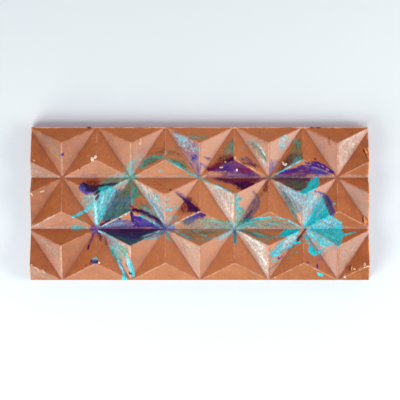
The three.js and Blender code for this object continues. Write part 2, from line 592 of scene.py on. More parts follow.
stroke("steel", [(-53.4, 8), (-52.6, 6.8)], 1.4, 0.6, feather=0.9, streaks=0.5)
stroke("mauve", [(-53, 7.4), (-51.6, 6.6)], 0.5, 0.5)
stroke("slate", [(-43, 8.2), (-40, 8.4), (-37.6, 9)], 1.9, 0.7, feather=0.8)
stroke("night", [(-46, 7.6), (-42, 8.2), (-38, 9)], (1.3, 1.3, 0.8), 0.95)
tell()

# %% The grey edge of the turquoise
patch("slate", [(-40.5, 7), (-35.3, 6.2), (-39.2, 0), (-44, -7.3), (-45, -7), (-43, -2), (-41.3, 2)], 0.8,
      run=66)
patch("steel", [(-40.5, 6.4), (-37.4, 5.5), (-39.8, -0.5), (-44.3, -7.4), (-43, -2)], 0.8, streaks=0.7,
      run=64)
patch("silver", [(-40.5, 6.6), (-37.6, 6), (-40.4, 0), (-44.3, -7), (-43, -2)], 0.6, streaks=0.9, run=64)
patch("silver", [(-40, 6.4), (-33, 10.5), (-32, 11), (-34.8, 7), (-38, 6)], 0.5)
# A painted highlight along the ridge beside the turquoise.
stroke("ice", [(-39.4, 7.2), (-36.5, 8.9), (-33, 10.7)], 0.5, 0.6, feather=0.3)
tell()

# %% The turquoise itself
patch("turquoise", [(-46, 4.8), (-45.4, 6.8), (-42.5, 7.6), (-39.4, 7.2), (-39.6, 5.4), (-41.3, 2),
                    (-42.8, -2), (-45, -7), (-46.8, -10.4), (-47.6, -9), (-48.1, -2), (-48.2, 3.6)], 1,
      streaks=0.1, run=68)
patch("cyan", [(-46, 4), (-42, 6), (-41.8, 2), (-43.5, -2.5), (-45.3, -6.5), (-46.8, -9.6), (-47.4, -5),
               (-47.6, 2.5)], 0.8, streaks=0.95, run=68)
patch("silver", [(-46.8, 3.4), (-42.4, 5.4), (-41.8, 2), (-43.5, -2.5), (-45.3, -6.5), (-46.6, -9),
                 (-47, -4)], 0.3, streaks=0.95, run=69)
tell()

# %% Pale and dark streaks in the turquoise
patch("ice", [(-48.1, 3.4), (-46.8, 3.6), (-46.6, -2), (-46.8, -8), (-47.5, -8.8), (-47.9, -2)], 0.7, run=88)
patch("ice", [(-46, 3.5), (-41.5, 6.8), (-40.6, 6), (-42.6, 2), (-45, -4)], 0.4, streaks=0.95, run=65)
stroke("ice", [(-41.4, 6.4), (-43.5, 2), (-45.5, -3), (-46.8, -8.5)], 0.6, 0.5, streaks=0.7)
stroke("turquoise", [(-40.2, 6.5), (-42.3, 1.5), (-44, -3), (-46, -8.2)], 0.8, 0.4, streaks=0.7)
LEFT_SWATH = [(-47.8, 3.4), (-42.4, 6.8), (-40.6, 5), (-42, 0), (-45, -6.5), (-46.8, -9.6), (-47.4, -4)]
patch("steel", LEFT_SWATH, 0.3, streaks=1, run=69, fibre=0.22)
patch("teal", LEFT_SWATH, 0.35, streaks=1, run=66, fibre=0.25)
stroke("ice", [(-47.4, 3), (-47.2, -3), (-46.9, -9)], (0.9, 1, 0.7), 0.7, feather=0.3, streaks=0.4)
stroke("ice", [(-43, 5.4), (-44.6, 0.6), (-46, -5)], (0.5, 0.8, 0.4), 0.55, feather=0.3, streaks=0.7)
stroke("aqua", [(-41.4, 5.8), (-43.2, 1), (-45, -4)], (0.6, 0.8, 0.5), 0.7, feather=0.3, streaks=0.6)
stroke("teal", [(-45.6, 3.6), (-46.3, 0)], 0.45, 0.8, feather=0.3, streaks=0.4)
stroke("teal", [(-44.4, 3.4), (-45.4, 0), (-46.2, -3)], 0.5, 0.8, streaks=0.6)
stroke("teal", [(-42.6, 3.4), (-44, 0)], 0.4, 0.7, streaks=0.6)
tell()

# %% Its upper tips, with dark paint over them
stroke("cyan", [(-44.6, 6.9), (-42, 7.3), (-40, 6.9)], 0.6, 0.9)
stroke("cyan", [(-47.4, 4.6), (-46, 5.6), (-44.6, 6.4)], 0.6, 0.9)
stroke("grape", [(-47.3, 3.8), (-45.6, 5.4)], 1, 1, ragged=0.15, streaks=0.1)
stroke("maroon", [(-47, 1.7), (-45.8, 3.4)], 1.1, 1, ragged=0.15, streaks=0.1)
stroke("grape", [(-46.7, 2), (-46, 3)], 0.5, 0.8, feather=0.3, ragged=0.1)
stroke("maroon", [(-47.9, 3.7), (-46.6, 4.4)], 0.7, 0.8, ragged=0.15, streaks=0.1)
stroke("silver", [(-40.6, 6.2), (-42, 3), (-43.6, -1), (-45, -5)], (0.9, 1.1, 0.8, 0.5), 0.6, streaks=0.6)
stroke("steel", [(-39.9, 6), (-41.8, 1.6), (-43.6, -3)], (0.6, 0.7, 0.5), 0.6, streaks=0.6)
tell()

# %% Flecks and a run of paint beside the turquoise
speckle("aqua", [(-54.5, 3.5), (-48, 4.5), (-47.3, -4), (-47.6, -9.5), (-50, -6.5), (-52, -4),
                 (-54.5, -0.5)], 0.6, size=0.55, share=0.6)
speckle("sage", [(-54, 3), (-48, 4), (-48, -4), (-52, -3)], 0.7, size=0.5, share=0.5)
speckle("ice", [(-52, 4), (-48, 4), (-47.8, -5), (-50, -5)], 0.6, size=0.5, share=0.5)
speckle("teal", [(-53, 3), (-48, 4), (-48, -3), (-52, -3)], 0.7, size=0.5)
stroke("cyan", [(-49.6, -1.6), (-52, -3.5), (-54, -4.6), (-57.2, -6.2)], (1.2, 1.4, 1, 0.6), 0.95)
dot("cyan", (-57.2, -6.1), 1.6, 0.9)
stroke("teal", [(-56, -6.5), (-54, -7.5), (-52.5, -9)], 0.8, 0.5)
patch("teal", [(-58.5, -10.6), (-57, -9.8), (-52.5, -10.3), (-52, -11.8), (-56, -12.2), (-58.5, -12)], 0.55,
      run=0)
stroke("cyan", [(-57.7, -11), (-56.7, -11.5)], 0.9, 0.7)
tell()

# %% The grey and dark drag over the next pyramid
patch("slate", [(-44.5, -8), (-39, 0.3), (-35.5, 5.5), (-31.3, 4.5), (-31.3, -3.8), (-38, -7)], 0.95,
      feather=0.9, streaks=0.3, on=[(1, 3, "left")])
patch("night", [(-36, 0), (-31.8, 0.5), (-31.3, -3.8), (-35, -4.8)], 0.4, feather=1.4, on=[(1, 3, "left")])
patch("silver", [(-42, -5), (-36, 4), (-32, 4), (-32, -2), (-38, -5)], 0.2, feather=1.4, streaks=0.9, run=62,
      on=[(1, 3, "left")])
patch("green", [(-43, -6), (-36, -1), (-32, -2.5), (-32, -4), (-38, -7)], 0.5, streaks=0.8, run=62,
      on=[(1, 3, "left")])
patch("olive", [(-37.5, 2.5), (-33, 3), (-32.5, 5.5), (-36, 5)], 0.75, feather=1.2)
patch("green", [(-35.5, 5), (-31.3, 5), (-31.3, 10.8), (-33, 9)], 0.75, feather=1, on=[(1, 3, "left")])
stroke("teal", [(-31.2, 9), (-30.9, 4), (-30.6, 0)], (1, 1.8, 2.2), 0.7, streaks=0.5, on=[(1, 3, "right")])
dot("maroon", (-31, -1.5), 1.3, 0.8)
tell()

# %% The violet front of that pyramid
PEAK_FRONT = [(1, 3, "base")]
patch("iris", [(-46, -11.4), (-38, -7.7), (-36, -7.4), (-31, -8), (-29, -11.6)], 0.95, run=10, on=PEAK_FRONT)
patch("silver", [(-43, -10), (-36, -8.6), (-34, -9.2), (-41, -10.6)], 0.35, streaks=0.8, run=20,
      on=PEAK_FRONT)
patch("wine", [(-45, -10.9), (-30, -10.7), (-19, -10.8), (-18, -11.7), (-45, -11.7)], 0.6, run=0,
      on=PEAK_FRONT)
# The pale line along the ridge up to the peak is a painted highlight.
stroke("ice", [(-44, -10.1), (-38, -7.3), (-31.5, -4)], 0.5, 0.6, feather=0.3)
stroke("ice", [(-46.2, -10.8), (-44, -10.2)], 0.9, 0.6)
stroke("grape", [(-45, -9.9), (-41, -7.8)], 0.9, 0.85, on=[(1, 3, "left"), (1, 2, "right")])
dot("grape", (-36.3, -7.1), 1.2, 0.7)
stroke("grape", [(-30.9, -4.4), (-30.4, -7.8)], 1.4, 0.95)
patch("violet", [(-30.5, -6), (-25, -5.4), (-20, -7.3), (-17.6, -10), (-19, -11), (-30, -10.6)], 1, run=-25,
      on=PEAK_FRONT)
patch("lavender", [(-29, -8), (-24, -7.6), (-21, -9.8), (-27, -10)], 0.5, streaks=0.9, run=-25,
      on=PEAK_FRONT)
tell()

# %% Its washed right side
WASHED = [(1, 3, "right")]
patch("green", [(-31.2, 9.6), (-30, 10), (-26.4, 4), (-28, 2.6), (-31.2, 2)], 0.7, feather=1.2, streaks=0.6,
      run=-62, on=WASHED)
patch("teal", [(-31.2, 8), (-28.6, 7), (-28.4, 3), (-31.2, 0)], 0.5, feather=1, streaks=0.8, run=80,
      on=WASHED)
patch("green", [(-29, -1), (-24, 0), (-19.4, -6), (-17.4, -10.4), (-22, -6.4), (-27, -3.8)], 0.75,
      feather=1.6, streaks=0.5, run=-40, on=WASHED)
patch("silver", [(-27, -1.6), (-22, -2.4), (-19, -7), (-23, -5)], 0.4, feather=1, streaks=0.9, run=-45,
      on=WASHED)
patch("maroon", [(-30, 1.6), (-26.6, 1.4), (-26, -1), (-30, -1.6)], 0.3, feather=1, streaks=0.8, run=20,
      on=WASHED)
stroke("grape", [(-30.3, -3), (-27, -3.6), (-24, -4.8), (-20, -7), (-17.5, -9.4), (-16.2, -11.2)], 1.7, 1)
stroke("lavender", [(-26, -5), (-21, -7.6), (-18, -10)], 0.5, 0.5, streaks=0.7)
stroke("turquoise", [(-27.6, -5.7), (-24.5, -6.6)], 0.8, 0.9)
dot("bare", (-28, -5.6), 0.9, 0.7)
stroke("cyan", [(-23.8, -7), (-21, -8.8), (-18.5, -10.2)], 0.9, 0.8, streaks=0.5)
stroke("ice", [(-21, -9), (-18.6, -10.2)], 0.5, 0.7)
stroke("iris", [(-19, -11.2), (-13.5, -11.4)], 4.6, 0.75, feather=2.2, ragged=0.8)
tell()

# %% Round the star under the turquoise
stroke("wine", [(-48, -11.2), (-45.5, -12.4)], 5, 0.65, feather=2.2, ragged=0.8)
stroke("lavender", [(-48, -12), (-45.8, -12.6)], 2.6, 0.6, feather=1.2)
dot("ice", (-46.8, -9.4), 1.3, 0.8)
stroke("ice", [(-45.6, -12.9), (-43.2, -13.7)], 0.9, 0.8)
stroke("aqua", [(-44.5, -12.6), (-41.5, -14.4), (-39, -15.8)], 0.9, 0.7)
stroke("wine", [(-48.4, -13.8), (-49.5, -17.5), (-50.5, -20.8)], (1.5, 1, 0.7), 0.7)
stroke("grape", [(-50.6, -19.2), (-50.9, -20.8)], 1.1, 0.95)
stroke("wine", [(-46, -13.8), (-45.4, -17)], 0.9, 0.5)
speckle("maroon", [(-46.5, -14), (-42, -15), (-41, -19), (-44.5, -20)], 0.6, size=1.1, share=0.6)
tell()

# %% [markdown]
# ## Below the left smear
# The dark mix runs over the valley into the front row, and two thin runs of turquoise reach the rim.

# %% Smears at the left, front row
BELOW = [(2, 3, "base")]
patch("night", [(-47, -11.8), (-31, -19.9), (-30.5, -19.9), (-15.7, -11.8)], 1, streaks=0.15, run=10,
      on=BELOW)
patch("slate", [(-40, -14.6), (-36, -16.8), (-31, -19.4), (-25, -17), (-24, -15.6), (-30, -16.4)], 0.65,
      feather=1, streaks=0.6, run=20, on=BELOW)
patch("grape", [(-45, -11.7), (-17, -11.7), (-18, -13), (-30, -13.2), (-42, -13.4)], 0.8, run=0, on=BELOW)
patch("wine", [(-45, -11.7), (-17, -11.7), (-18, -13), (-30, -13.2), (-42, -13.4)], 0.35, streaks=0.8, run=0,
      on=BELOW)
patch("violet", [(-38, -14), (-30, -13.4), (-24, -14.6), (-30, -16.6)], 0.4, streaks=0.9, run=10, on=BELOW)
stroke("teal", [(-33, -18.9), (-31.3, -19.7), (-28, -18.2)], 0.9, 0.85, on=BELOW)
stroke("slate", [(-28, -17.6), (-22, -15.2), (-17, -12.6)], 1.3, 0.7, on=BELOW)
stroke("steel", [(-26, -15.2), (-22, -13.8), (-17.6, -12.6)], 1.1, 0.9, streaks=0.6)
stroke("ice", [(-26.5, -15.6), (-21, -13.6), (-18, -12.4)], 0.4, 0.8)
stroke("teal", [(-26.3, -16.4), (-21, -16.2), (-17.5, -15.6)], 0.7, 0.6, streaks=0.6)
patch("violet", [(-25, -16), (-18, -12.6), (-16.6, -13.5), (-19, -15.6)], 0.4, streaks=0.6, run=20,
      on=[(2, 3, "right")])
patch("steel", [(-25.4, -16.4), (-18, -13), (-16.6, -13.5), (-19, -16)], 0.6, streaks=0.7, run=20,
      on=[(2, 3, "right")])
stroke("aqua", [(-25, -16), (-21.6, -15.2), (-18.6, -13.6)], 0.5, 0.7, streaks=0.5)
tell()

# %% The grey film beside it
patch("steel", [(-43.6, -13.4), (-40, -15), (-36.5, -17.4), (-36.8, -19), (-40, -19.4)], 0.6, feather=1.4,
      run=-60, on=[(2, 3, "left")])
patch("silver", [(-42, -14.2), (-33, -18.6), (-34, -19.6), (-39, -19)], 0.45, feather=1.4, streaks=0.7,
      run=-35, on=[(2, 3, "left")])
patch("haze", [(-36.4, -17.6), (-31.4, -19.6), (-31.6, -22), (-35, -20)], 0.35, feather=1, streaks=0.6,
      run=-75, on=[(2, 3, "left")])
patch("sage", [(-40, -19.5), (-36, -19), (-33, -20.4), (-32.4, -22), (-33.6, -23.6), (-35.5, -26.5),
               (-37, -26), (-39, -24.4), (-41, -21.5)], 0.8, feather=0.8, streaks=0.4, run=-60)
stroke("teal", [(-40.2, -20), (-39.6, -23.4), (-37, -26.2)], 1, 0.7)
stroke("teal", [(-39, -19.5), (-35.5, -19.6)], 0.8, 0.6)
patch("silver", [(-39, -20), (-34, -20.4), (-34.6, -23.4), (-37, -24.6)], 0.35, feather=1.2, streaks=0.7)
patch("aqua", [(-40.4, -19.8), (-37, -20), (-37, -25), (-38.4, -24.6)], 0.4, feather=0.8, streaks=0.7)
tell()

# %% Two runs to the rim
stroke("turquoise", [(-37, -26), (-35.8, -29), (-34.4, -32), (-34.2, -34.6)], (1.1, 1.3, 1.2, 2.6), 1)
stroke("ice", [(-37, -26.6), (-35.4, -29.6), (-34.6, -31.6)], 0.6, 0.95, streaks=0.4)
stroke("aqua", [(-34.6, -31.6), (-34.6, -34.6)], 0.8, 0.6, streaks=0.6)
stroke("night", [(-36.6, -27), (-35.6, -28.4), (-34.2, -30.6)], 0.45, 0.8, streaks=0.4)
stroke("turquoise", [(-33.4, -23.2), (-31.8, -27.6), (-30.6, -31.4), (-30, -33)], (0.9, 1.9, 1.9, 1), 1)
stroke("aqua", [(-33.3, -23.4), (-31.8, -27.6), (-30.5, -31.6)], (0.7, 1.3, 1.2), 0.7, streaks=0.8)
stroke("ice", [(-33.2, -24.2), (-32.1, -28), (-31.2, -31)], (0.7, 1, 0.6), 0.95, streaks=0.4)
stroke("bare", [(-31.9, -29), (-31.2, -31)], 0.4, 0.6, streaks=0.4)
stroke("haze", [(-31.5, -19.9), (-31.4, -24)], 0.5, 0.6, feather=0.3)
stroke("maroon", [(-33.6, -27.6), (-32.6, -30.4)], 0.5, 0.6)
dot("lavender", (-29.9, -28), 0.8, 0.6)
tell()

# %% A ring of colours on one peak
stroke("indigo", [(-48.9, -26.9), (-48.2, -27.4), (-46.8, -27.4), (-46.2, -26.5), (-46.9, -25.6)], 0.7, 0.8)
stroke("lavender", [(-48.6, -25.6), (-47.3, -26.4)], 1.3, 0.8)
dot("cyan", (-46.8, -25.1), 1.1, 0.95)
dot("turquoise", (-48.2, -25.2), 0.9, 0.8)
for middle, size in [((-46.1, -26.7), 1.5), ((-47.5, -26.7), 1.1), ((-49, -26.3), 0.9)]:
    dot("night", middle, size, 1)
dot("mauve", (-47, -28.2), 1.2, 0.7)
speckle("grape", [(-53, -29.6), (-48.6, -27.6), (-48, -26.4), (-52, -27.6)], 0.6, size=0.6, feather=1)
tell()

# %% [markdown]
# ## Across the middle
# A thin grey and violet film was wiped over the middle pyramids, and it shows mostly as fine streaks.

# %% Smears in the back row, left of the middle
stroke("aqua", [(-31.4, 13), (-31.4, 19.3)], 0.9, 0.5, streaks=0.6)
patch("silver", [(-34, 12.6), (-31.4, 21), (-28.6, 20), (-29, 14)], 0.3, feather=1.6, streaks=0.9, run=80)
patch("sage", [(-31.3, 12), (-35.4, 17.4), (-33.8, 19), (-31.3, 18)], 0.55, feather=1, streaks=0.8, run=110)
patch("teal", [(-31, 12.3), (-28, 17.2), (-29.5, 19), (-31, 19)], 0.5, feather=0.9, streaks=0.8, run=70)
stroke("teal", [(-34.5, 12), (-31.5, 16)], 0.8, 0.5, streaks=0.7)
stroke("aqua", [(-30.4, 19.2), (-28.6, 19.4), (-26.4, 20.1)], 0.8, 0.65, streaks=0.5)
patch("silver", [(-30, 20), (-24, 19.8), (-24, 22.5), (-29, 22.5)], 0.25, feather=1.2, run=10)
patch("mauve", [(-28, 23.6), (-24, 23.6), (-24, 26), (-27.5, 26)], 0.35, feather=1.2, streaks=0.7)
patch("teal", [(-29, 15.6), (-24.6, 15.8), (-24, 17.4), (-27, 18.4)], 0.45, feather=1, streaks=0.6)
patch("maroon", [(-25, 21.8), (-17, 22), (-16, 25.6), (-21, 26)], 0.3, feather=1.4, streaks=0.8, run=15,
      on=[(0, 4, "left")])
patch("charcoal", [(-21, 21.6), (-16.4, 22), (-16.2, 24), (-20, 23.6)], 0.35, feather=1.2, streaks=0.8,
      run=15, on=[(0, 4, "left")])
patch("green", [(-26.6, 16.4), (-22.5, 18.2), (-17, 20), (-17, 21.4), (-24, 20.5)], 0.75, feather=1, run=25)
patch("olive", [(-25, 16.4), (-19, 19), (-19, 20), (-24, 18.6)], 0.5, feather=0.8, run=25,
      on=[(0, 4, "left")])
stroke("teal", [(-26.7, 16.6), (-25, 19), (-22, 20.9), (-19, 21), (-16.6, 20.6)], 1.1, 0.75, streaks=0.5)
stroke("maroon", [(-16.3, 22.6), (-16.1, 27.5)], 0.5, 0.4, streaks=0.5)
stroke("aqua", [(-16, 23), (-14.8, 23)], 0.6, 0.7)
tell()

# %% The wiped film on the pyramid beside it
RIGHT_OF_PEAK = [(0, 4, "right")]
patch("olive", [(-15.4, 20), (-15.4, 25), (-8.5, 22), (-5.5, 17), (-9, 16)], 0.4, feather=1.4, streaks=0.95,
      run=-25, on=RIGHT_OF_PEAK)
patch("green", [(-13, 19.4), (-8, 19.6), (-5, 16.3), (-7, 15.6), (-11, 17.2)], 0.7, feather=0.9, streaks=0.8,
      run=-32, on=RIGHT_OF_PEAK)
for path in [[(-15, 24), (-12, 23.6), (-10, 24.6)], [(-14.5, 22), (-11, 22.4)], [(-13, 26), (-10.5, 25.4)]]:
    stroke("olive", path, 0.6, 0.6, streaks=0.6)
stroke("maroon", [(-14.6, 23.2), (-11, 23.2), (-9.4, 22)], 0.5, 0.4, streaks=0.6)
stroke("teal", [(-15.2, 20.1), (-12.5, 18.7), (-10, 17.3), (-6.4, 15.4)], 1.1, 0.8, streaks=0.5)
stroke("cyan", [(-12, 17.8), (-10, 16.7), (-7, 15.2)], (0.3, 0.6, 0.4), 0.6, streaks=0.4)
stroke("teal", [(-7, 15.5), (-4, 13), (-1, 12), (1, 11), (4, 9.5)], (0.9, 0.9, 0.7, 0.8, 0.5), 0.85)
stroke("teal", [(-3.5, 13.6), (-1, 12.6)], 1.6, 0.4, feather=0.8)
stroke("teal", [(-16, 18.3), (-13, 17.8)], 0.7, 0.4, streaks=0.6)
stroke("teal", [(-18.4, 14.5), (-16.8, 14.4)], 0.8, 0.6)
tell()

# %% The violet film
FILMED = [(0, 5, "left")]
patch("mauve", [(-13.5, 33), (-9, 33), (-0.2, 27), (-0.4, 12.5), (-4, 17), (-9, 25)], 0.6, streaks=0.5,
      run=-30, on=FILMED)
patch("silver", [(-12, 32), (-6, 29.6), (-4, 26), (-9.5, 26)], 0.45, streaks=0.95, run=-20, on=FILMED)
patch("ice", [(-11.5, 31), (-6, 29.8), (-6, 27), (-9.5, 27)], 0.45, streaks=0.95, run=-20, on=FILMED)
speckle("cream", [(-10.5, 31), (-1, 28), (-0.6, 20), (-5, 18), (-9, 26)], 0.3, size=0.5, share=0.35,
        on=FILMED)
speckle("iris", [(-8, 28), (-1, 28), (-0.6, 17), (-5, 18)], 0.45, size=0.55, share=0.5, on=FILMED)
speckle("maroon", [(-6, 24), (-1, 25), (-0.6, 20), (-4, 18)], 0.3, size=0.5, on=FILMED)
stroke("aqua", [(-8.8, 29.6), (-6.6, 28.8)], 0.9, 0.7)
stroke("aqua", [(-7.6, 26), (-4, 25.4)], 0.7, 0.5, streaks=0.6)
patch("lavender", [(-4.4, 22), (-1, 22.4), (-0.8, 19.4), (-3, 19.2)], 0.6, feather=1, streaks=0.6)
dot("violet", (-2.9, 20.5), 1.5, 0.85)
dot("violet", (-1.9, 21.6), 1.1, 0.8)
stroke("cyan", [(-3.2, 24.6), (-0.3, 24.2)], 0.7, 0.8)
stroke("silver", [(-8.8, 25), (-3.6, 15.6), (-1.4, 13)], 0.5, 0.4, streaks=0.5)
patch("lavender", [(-2, 18), (0.4, 18), (0.4, 12.4), (-0.6, 12.4)], 0.6, streaks=0.6, run=85)
patch("sage", [(-6.5, 29.4), (2.5, 28.9), (3, 30.4), (-5, 31.2)], 0.6, streaks=0.6, run=-8,
      on=[(0, 5, "base")])
stroke("teal", [(-4.5, 30.6), (2, 29.8)], 0.5, 0.6, streaks=0.6, on=[(0, 5, "base")])
stroke("wine", [(2, 21), (4.5, 20)], 0.9, 0.6)
stroke("lavender", [(0.3, 18), (2, 17), (4, 16)], 0.8, 0.8)
tell()

# %% Smears in the back row, right of the middle
patch("charcoal", [(8, 19.6), (15.6, 20.6), (15.6, 30), (12.6, 27.6)], 0.5, feather=1.2, streaks=0.7, run=30,
      on=[(0, 6, "left")])
patch("sage", [(11, 22.6), (15.6, 22.6), (15.6, 30), (13, 27.6)], 0.45, feather=1, streaks=0.9, run=30,
      on=[(0, 6, "left")])
stroke("teal", [(15.1, 29.6), (15.1, 26), (14.6, 23)], 0.7, 0.8, streaks=0.6, on=[(0, 6, "left")])
stroke("maroon", [(8.6, 23), (10, 19.4), (12, 20.4)], 1.2, 0.4, streaks=0.7, on=[(0, 6, "left")])
patch("maroon", [(2.5, 14.8), (8, 20), (14.8, 21.6), (15.3, 19.6), (8, 15.8)], 0.7, feather=2, ragged=0.12,
      run=25, on=[(0, 6, "left")])
patch("plum", [(4, 15.6), (8, 17.4), (15, 20.6), (15.4, 19.4), (8, 15.8)], 0.75, feather=1.2, ragged=0.15,
      run=25, on=[(0, 6, "left")])
stroke("plum", [(3.6, 15.6), (6, 15), (9, 15.9)], (1.1, 1.5, 1), 0.95)
stroke("grape", [(9, 16), (12, 17.9), (15, 19.7)], (0.6, 0.7, 0.9), 0.7, streaks=0.4)
stroke("grape", [(12.6, 19.2), (15.2, 20.4)], 1.1, 0.7, streaks=0.4, on=[(0, 6, "left")])
tell()

# %% The violet pool
FRONT_OF_6 = [(0, 6, "base")]
patch("wine", [(3, 13.5), (6, 15), (15.5, 19.4), (20, 17.3), (27, 12.8), (28, 11.7), (3, 11.7)], 0.8, run=-5,
      on=FRONT_OF_6)
patch("bare", [(3, 12), (5, 14.4), (12, 14.4), (11, 12.6)], 0.75, feather=1, streaks=0.5, run=0,
      on=FRONT_OF_6)
patch("violet", [(6, 15), (10, 16.8), (13, 17.6), (15.5, 17.2), (22, 14.6), (24.4, 12.6), (21, 12.8),
                 (16, 14.2), (11, 14.4), (8, 14.6)], 0.6, streaks=0.7, run=-10, on=FRONT_OF_6)
patch("grape", [(6.4, 15.2), (12, 17.4), (15.5, 18), (14, 15.4), (9, 14.8)], 0.5, streaks=0.9, run=15,
      on=FRONT_OF_6)
patch("maroon", [(17, 17.6), (20, 17), (24, 14), (21, 13.6), (18, 15)], 0.6, streaks=0.7, run=-25,
      on=FRONT_OF_6)
patch("plum", [(17, 17.4), (20, 17), (24, 14), (21, 13.8), (17, 15.6)], 0.85, streaks=0.6, run=-25,
      on=FRONT_OF_6)
patch("mauve", [(11, 13.4), (16, 14), (22, 12.6), (12, 12.2)], 0.6, feather=0.8, streaks=0.7, run=-5,
      on=FRONT_OF_6)
patch("maroon", [(9, 14), (16, 15), (24, 13.2), (26, 12), (10, 12)], 0.35, feather=1.2, streaks=0.8, run=-5,
      on=FRONT_OF_6)
patch("wine", [(12, 17), (15.5, 19.4), (18, 18.4), (21, 16.4), (16, 15.6)], 0.8, streaks=0.5, run=-15,
      on=FRONT_OF_6)
tell()

# %% Streaks over the pool
stroke("maroon", [(16, 16.6), (19, 16), (22.5, 15.8)], 0.9, 0.6, streaks=0.5, on=FRONT_OF_6)
stroke("lavender", [(9.5, 16.4), (12.5, 18)], 0.6, 0.6)
# The two caramel strokes along the ridge beside the pool are a painted highlight.
stroke("caramel", [(16.4, 19.4), (18.4, 18.2)], 0.5, 0.8, streaks=0.4)
stroke("caramel", [(21.6, 16.8), (26, 14.4), (30.6, 12.2)], (0.4, 0.5, 0.4), 0.65, streaks=0.5)
stroke("lavender", [(16, 13.4), (22, 12.4)], 0.6, 0.35, streaks=0.7, on=FRONT_OF_6)
patch("wine", [(18, 20), (22, 18.6), (28.5, 15), (27, 16.8), (21, 21)], 0.75, feather=0.9, run=-28,
      on=[(0, 6, "right")])
stroke("grape", [(19, 18.4), (22, 17.8), (25, 16.8)], (0.8, 1.1, 0.7), 0.8)
stroke("sage", [(18.5, 25), (20, 26), (23, 26.6)], 0.7, 0.5, streaks=0.6)
stroke("sage", [(18.6, 20.4), (21.6, 20.2)], 0.7, 0.4, streaks=0.6)
tell()

# %% The green streak beside it
LEFT_OF_7 = [(0, 7, "left")]
patch("haze", [(21.5, 28.5), (24.5, 29), (29, 24.5), (31.2, 19.5), (31.2, 14), (28, 18.5), (24, 25)], 0.3,
      run=-62, on=LEFT_OF_7)
patch("olive", [(22, 28), (25, 27.6), (29, 22.4), (30.6, 19), (27, 22)], 0.55, streaks=0.7, run=-55,
      on=LEFT_OF_7)
stroke("teal", [(21.6, 28), (24.5, 27.6), (27, 25.4), (29, 23)], 0.7, 0.4, streaks=0.6)
stroke("ice", [(26, 22.6), (28, 20.4), (30, 17.4)], 0.7, 0.45, streaks=0.7, on=LEFT_OF_7)
stroke("green", [(25, 26.6), (27.4, 24.4), (28.6, 22.6), (30, 20.4)], (0.4, 0.7, 0.8, 0.5), 0.9)
stroke("ice", [(26, 26.8), (28, 24.8), (29.4, 22)], 0.4, 0.7, streaks=0.5)
patch("bloom", [(21.5, 31), (31, 28.4), (31, 26), (25, 27.4)], 0.3, feather=1.2, run=-20, on=LEFT_OF_7)
patch("mauve", [(31.6, 19.6), (35.8, 20), (34.6, 16.4), (31.6, 12.2)], 0.6, feather=0.8,
      on=[(0, 7, "right")])
patch("lavender", [(31.6, 18), (33.6, 18), (33, 14.6), (31.5, 12.6)], 0.4, feather=0.8, run=70)
tell()

# %% Turquoise dabs by the back rim
for middle, size in [((38, 29.4), 2.2), ((38, 26.6), 2.6), ((40.6, 28.4), 1.7), ((37, 25.4), 1.6),
                     ((39, 30.6), 1.4)]:
    dot("aqua", middle, 1.1 * size, 0.5, feather=1.2)
    dot("ice", middle, 0.6 * size, 0.4, feather=0.8)
speckle("ice", [(34, 31), (42, 31), (41, 25), (35, 22)], 0.3, share=0.5, on=[(0, 7, "right")])
speckle("bare", [(35, 31), (42, 31), (41, 25), (35, 24)], 0.35, size=0.8, share=0.5, on=[(0, 7, "right")])
stroke("charcoal", [(30.4, 11.6), (32.2, 11.8)], 2.4, 0.6, feather=1.4)
tell()

# %% Smears in the middle row, right of the middle
BACK_OF_6 = [(1, 6, "base")]
patch("wine", [(5, 11.6), (30, 11.6), (27, 9.4), (15, 8.6), (8, 10.4)], 0.7, feather=1.2, ragged=0.2, run=-5,
      on=BACK_OF_6)
patch("maroon", [(7, 11.4), (27, 11.4), (26, 9.4), (12, 9.2)], 0.6, feather=1.2, ragged=0.2, run=0,
      on=BACK_OF_6)
patch("grape", [(15, 9.4), (17, 7.8), (19, 6), (20.4, 6), (22, 6.9), (24.5, 8.1), (25, 9.2), (21, 9.8)], 1,
      streaks=0.2, ragged=0.12, run=30, on=BACK_OF_6)
stroke("maroon", [(15.5, 8.4), (18.5, 6)], 0.8, 0.6, on=BACK_OF_6)
patch("plum", [(17, 9), (19, 7.4), (22, 7.6), (24, 8.8), (22, 9.6)], 0.55, feather=1, streaks=0.8, run=20,
      on=BACK_OF_6)
tell()

# %% The pale facet
PALE_FACET = [(1, 6, "left")]
# This lit facet is whitish from the key light: the haze and bloom here are partly a painted sheen.
patch("haze", [(2.4, 10), (15.5, 4.2), (15.5, -10), (9, -1)], 0.62, feather=1, streaks=0.12, run=-58,
      on=PALE_FACET)
patch("bloom", [(5, 7.6), (12, 4.4), (10.4, -1), (8, 1)], 0.4, feather=1.6, streaks=0.5, run=-58,
      on=PALE_FACET)
# Painted highlight along the ridge at the facet's right edge.
stroke("cream", [(14.9, 3.4), (15, -9)], 0.6, 0.25, on=PALE_FACET)
stroke("teal", [(6.6, 8.9), (10, 7.2), (13.4, 5.2)], 0.9, 0.6, streaks=0.4)
# The pale line is a painted highlight along the ridge, over the teal.
stroke("ice", [(7.4, 8), (10.5, 6.4), (13.6, 4.5)], 0.7, 1, feather=0.3, streaks=0.1)
stroke("sage", [(12.6, 0), (15, 0)], 0.8, 0.5, streaks=0.5)
tell()

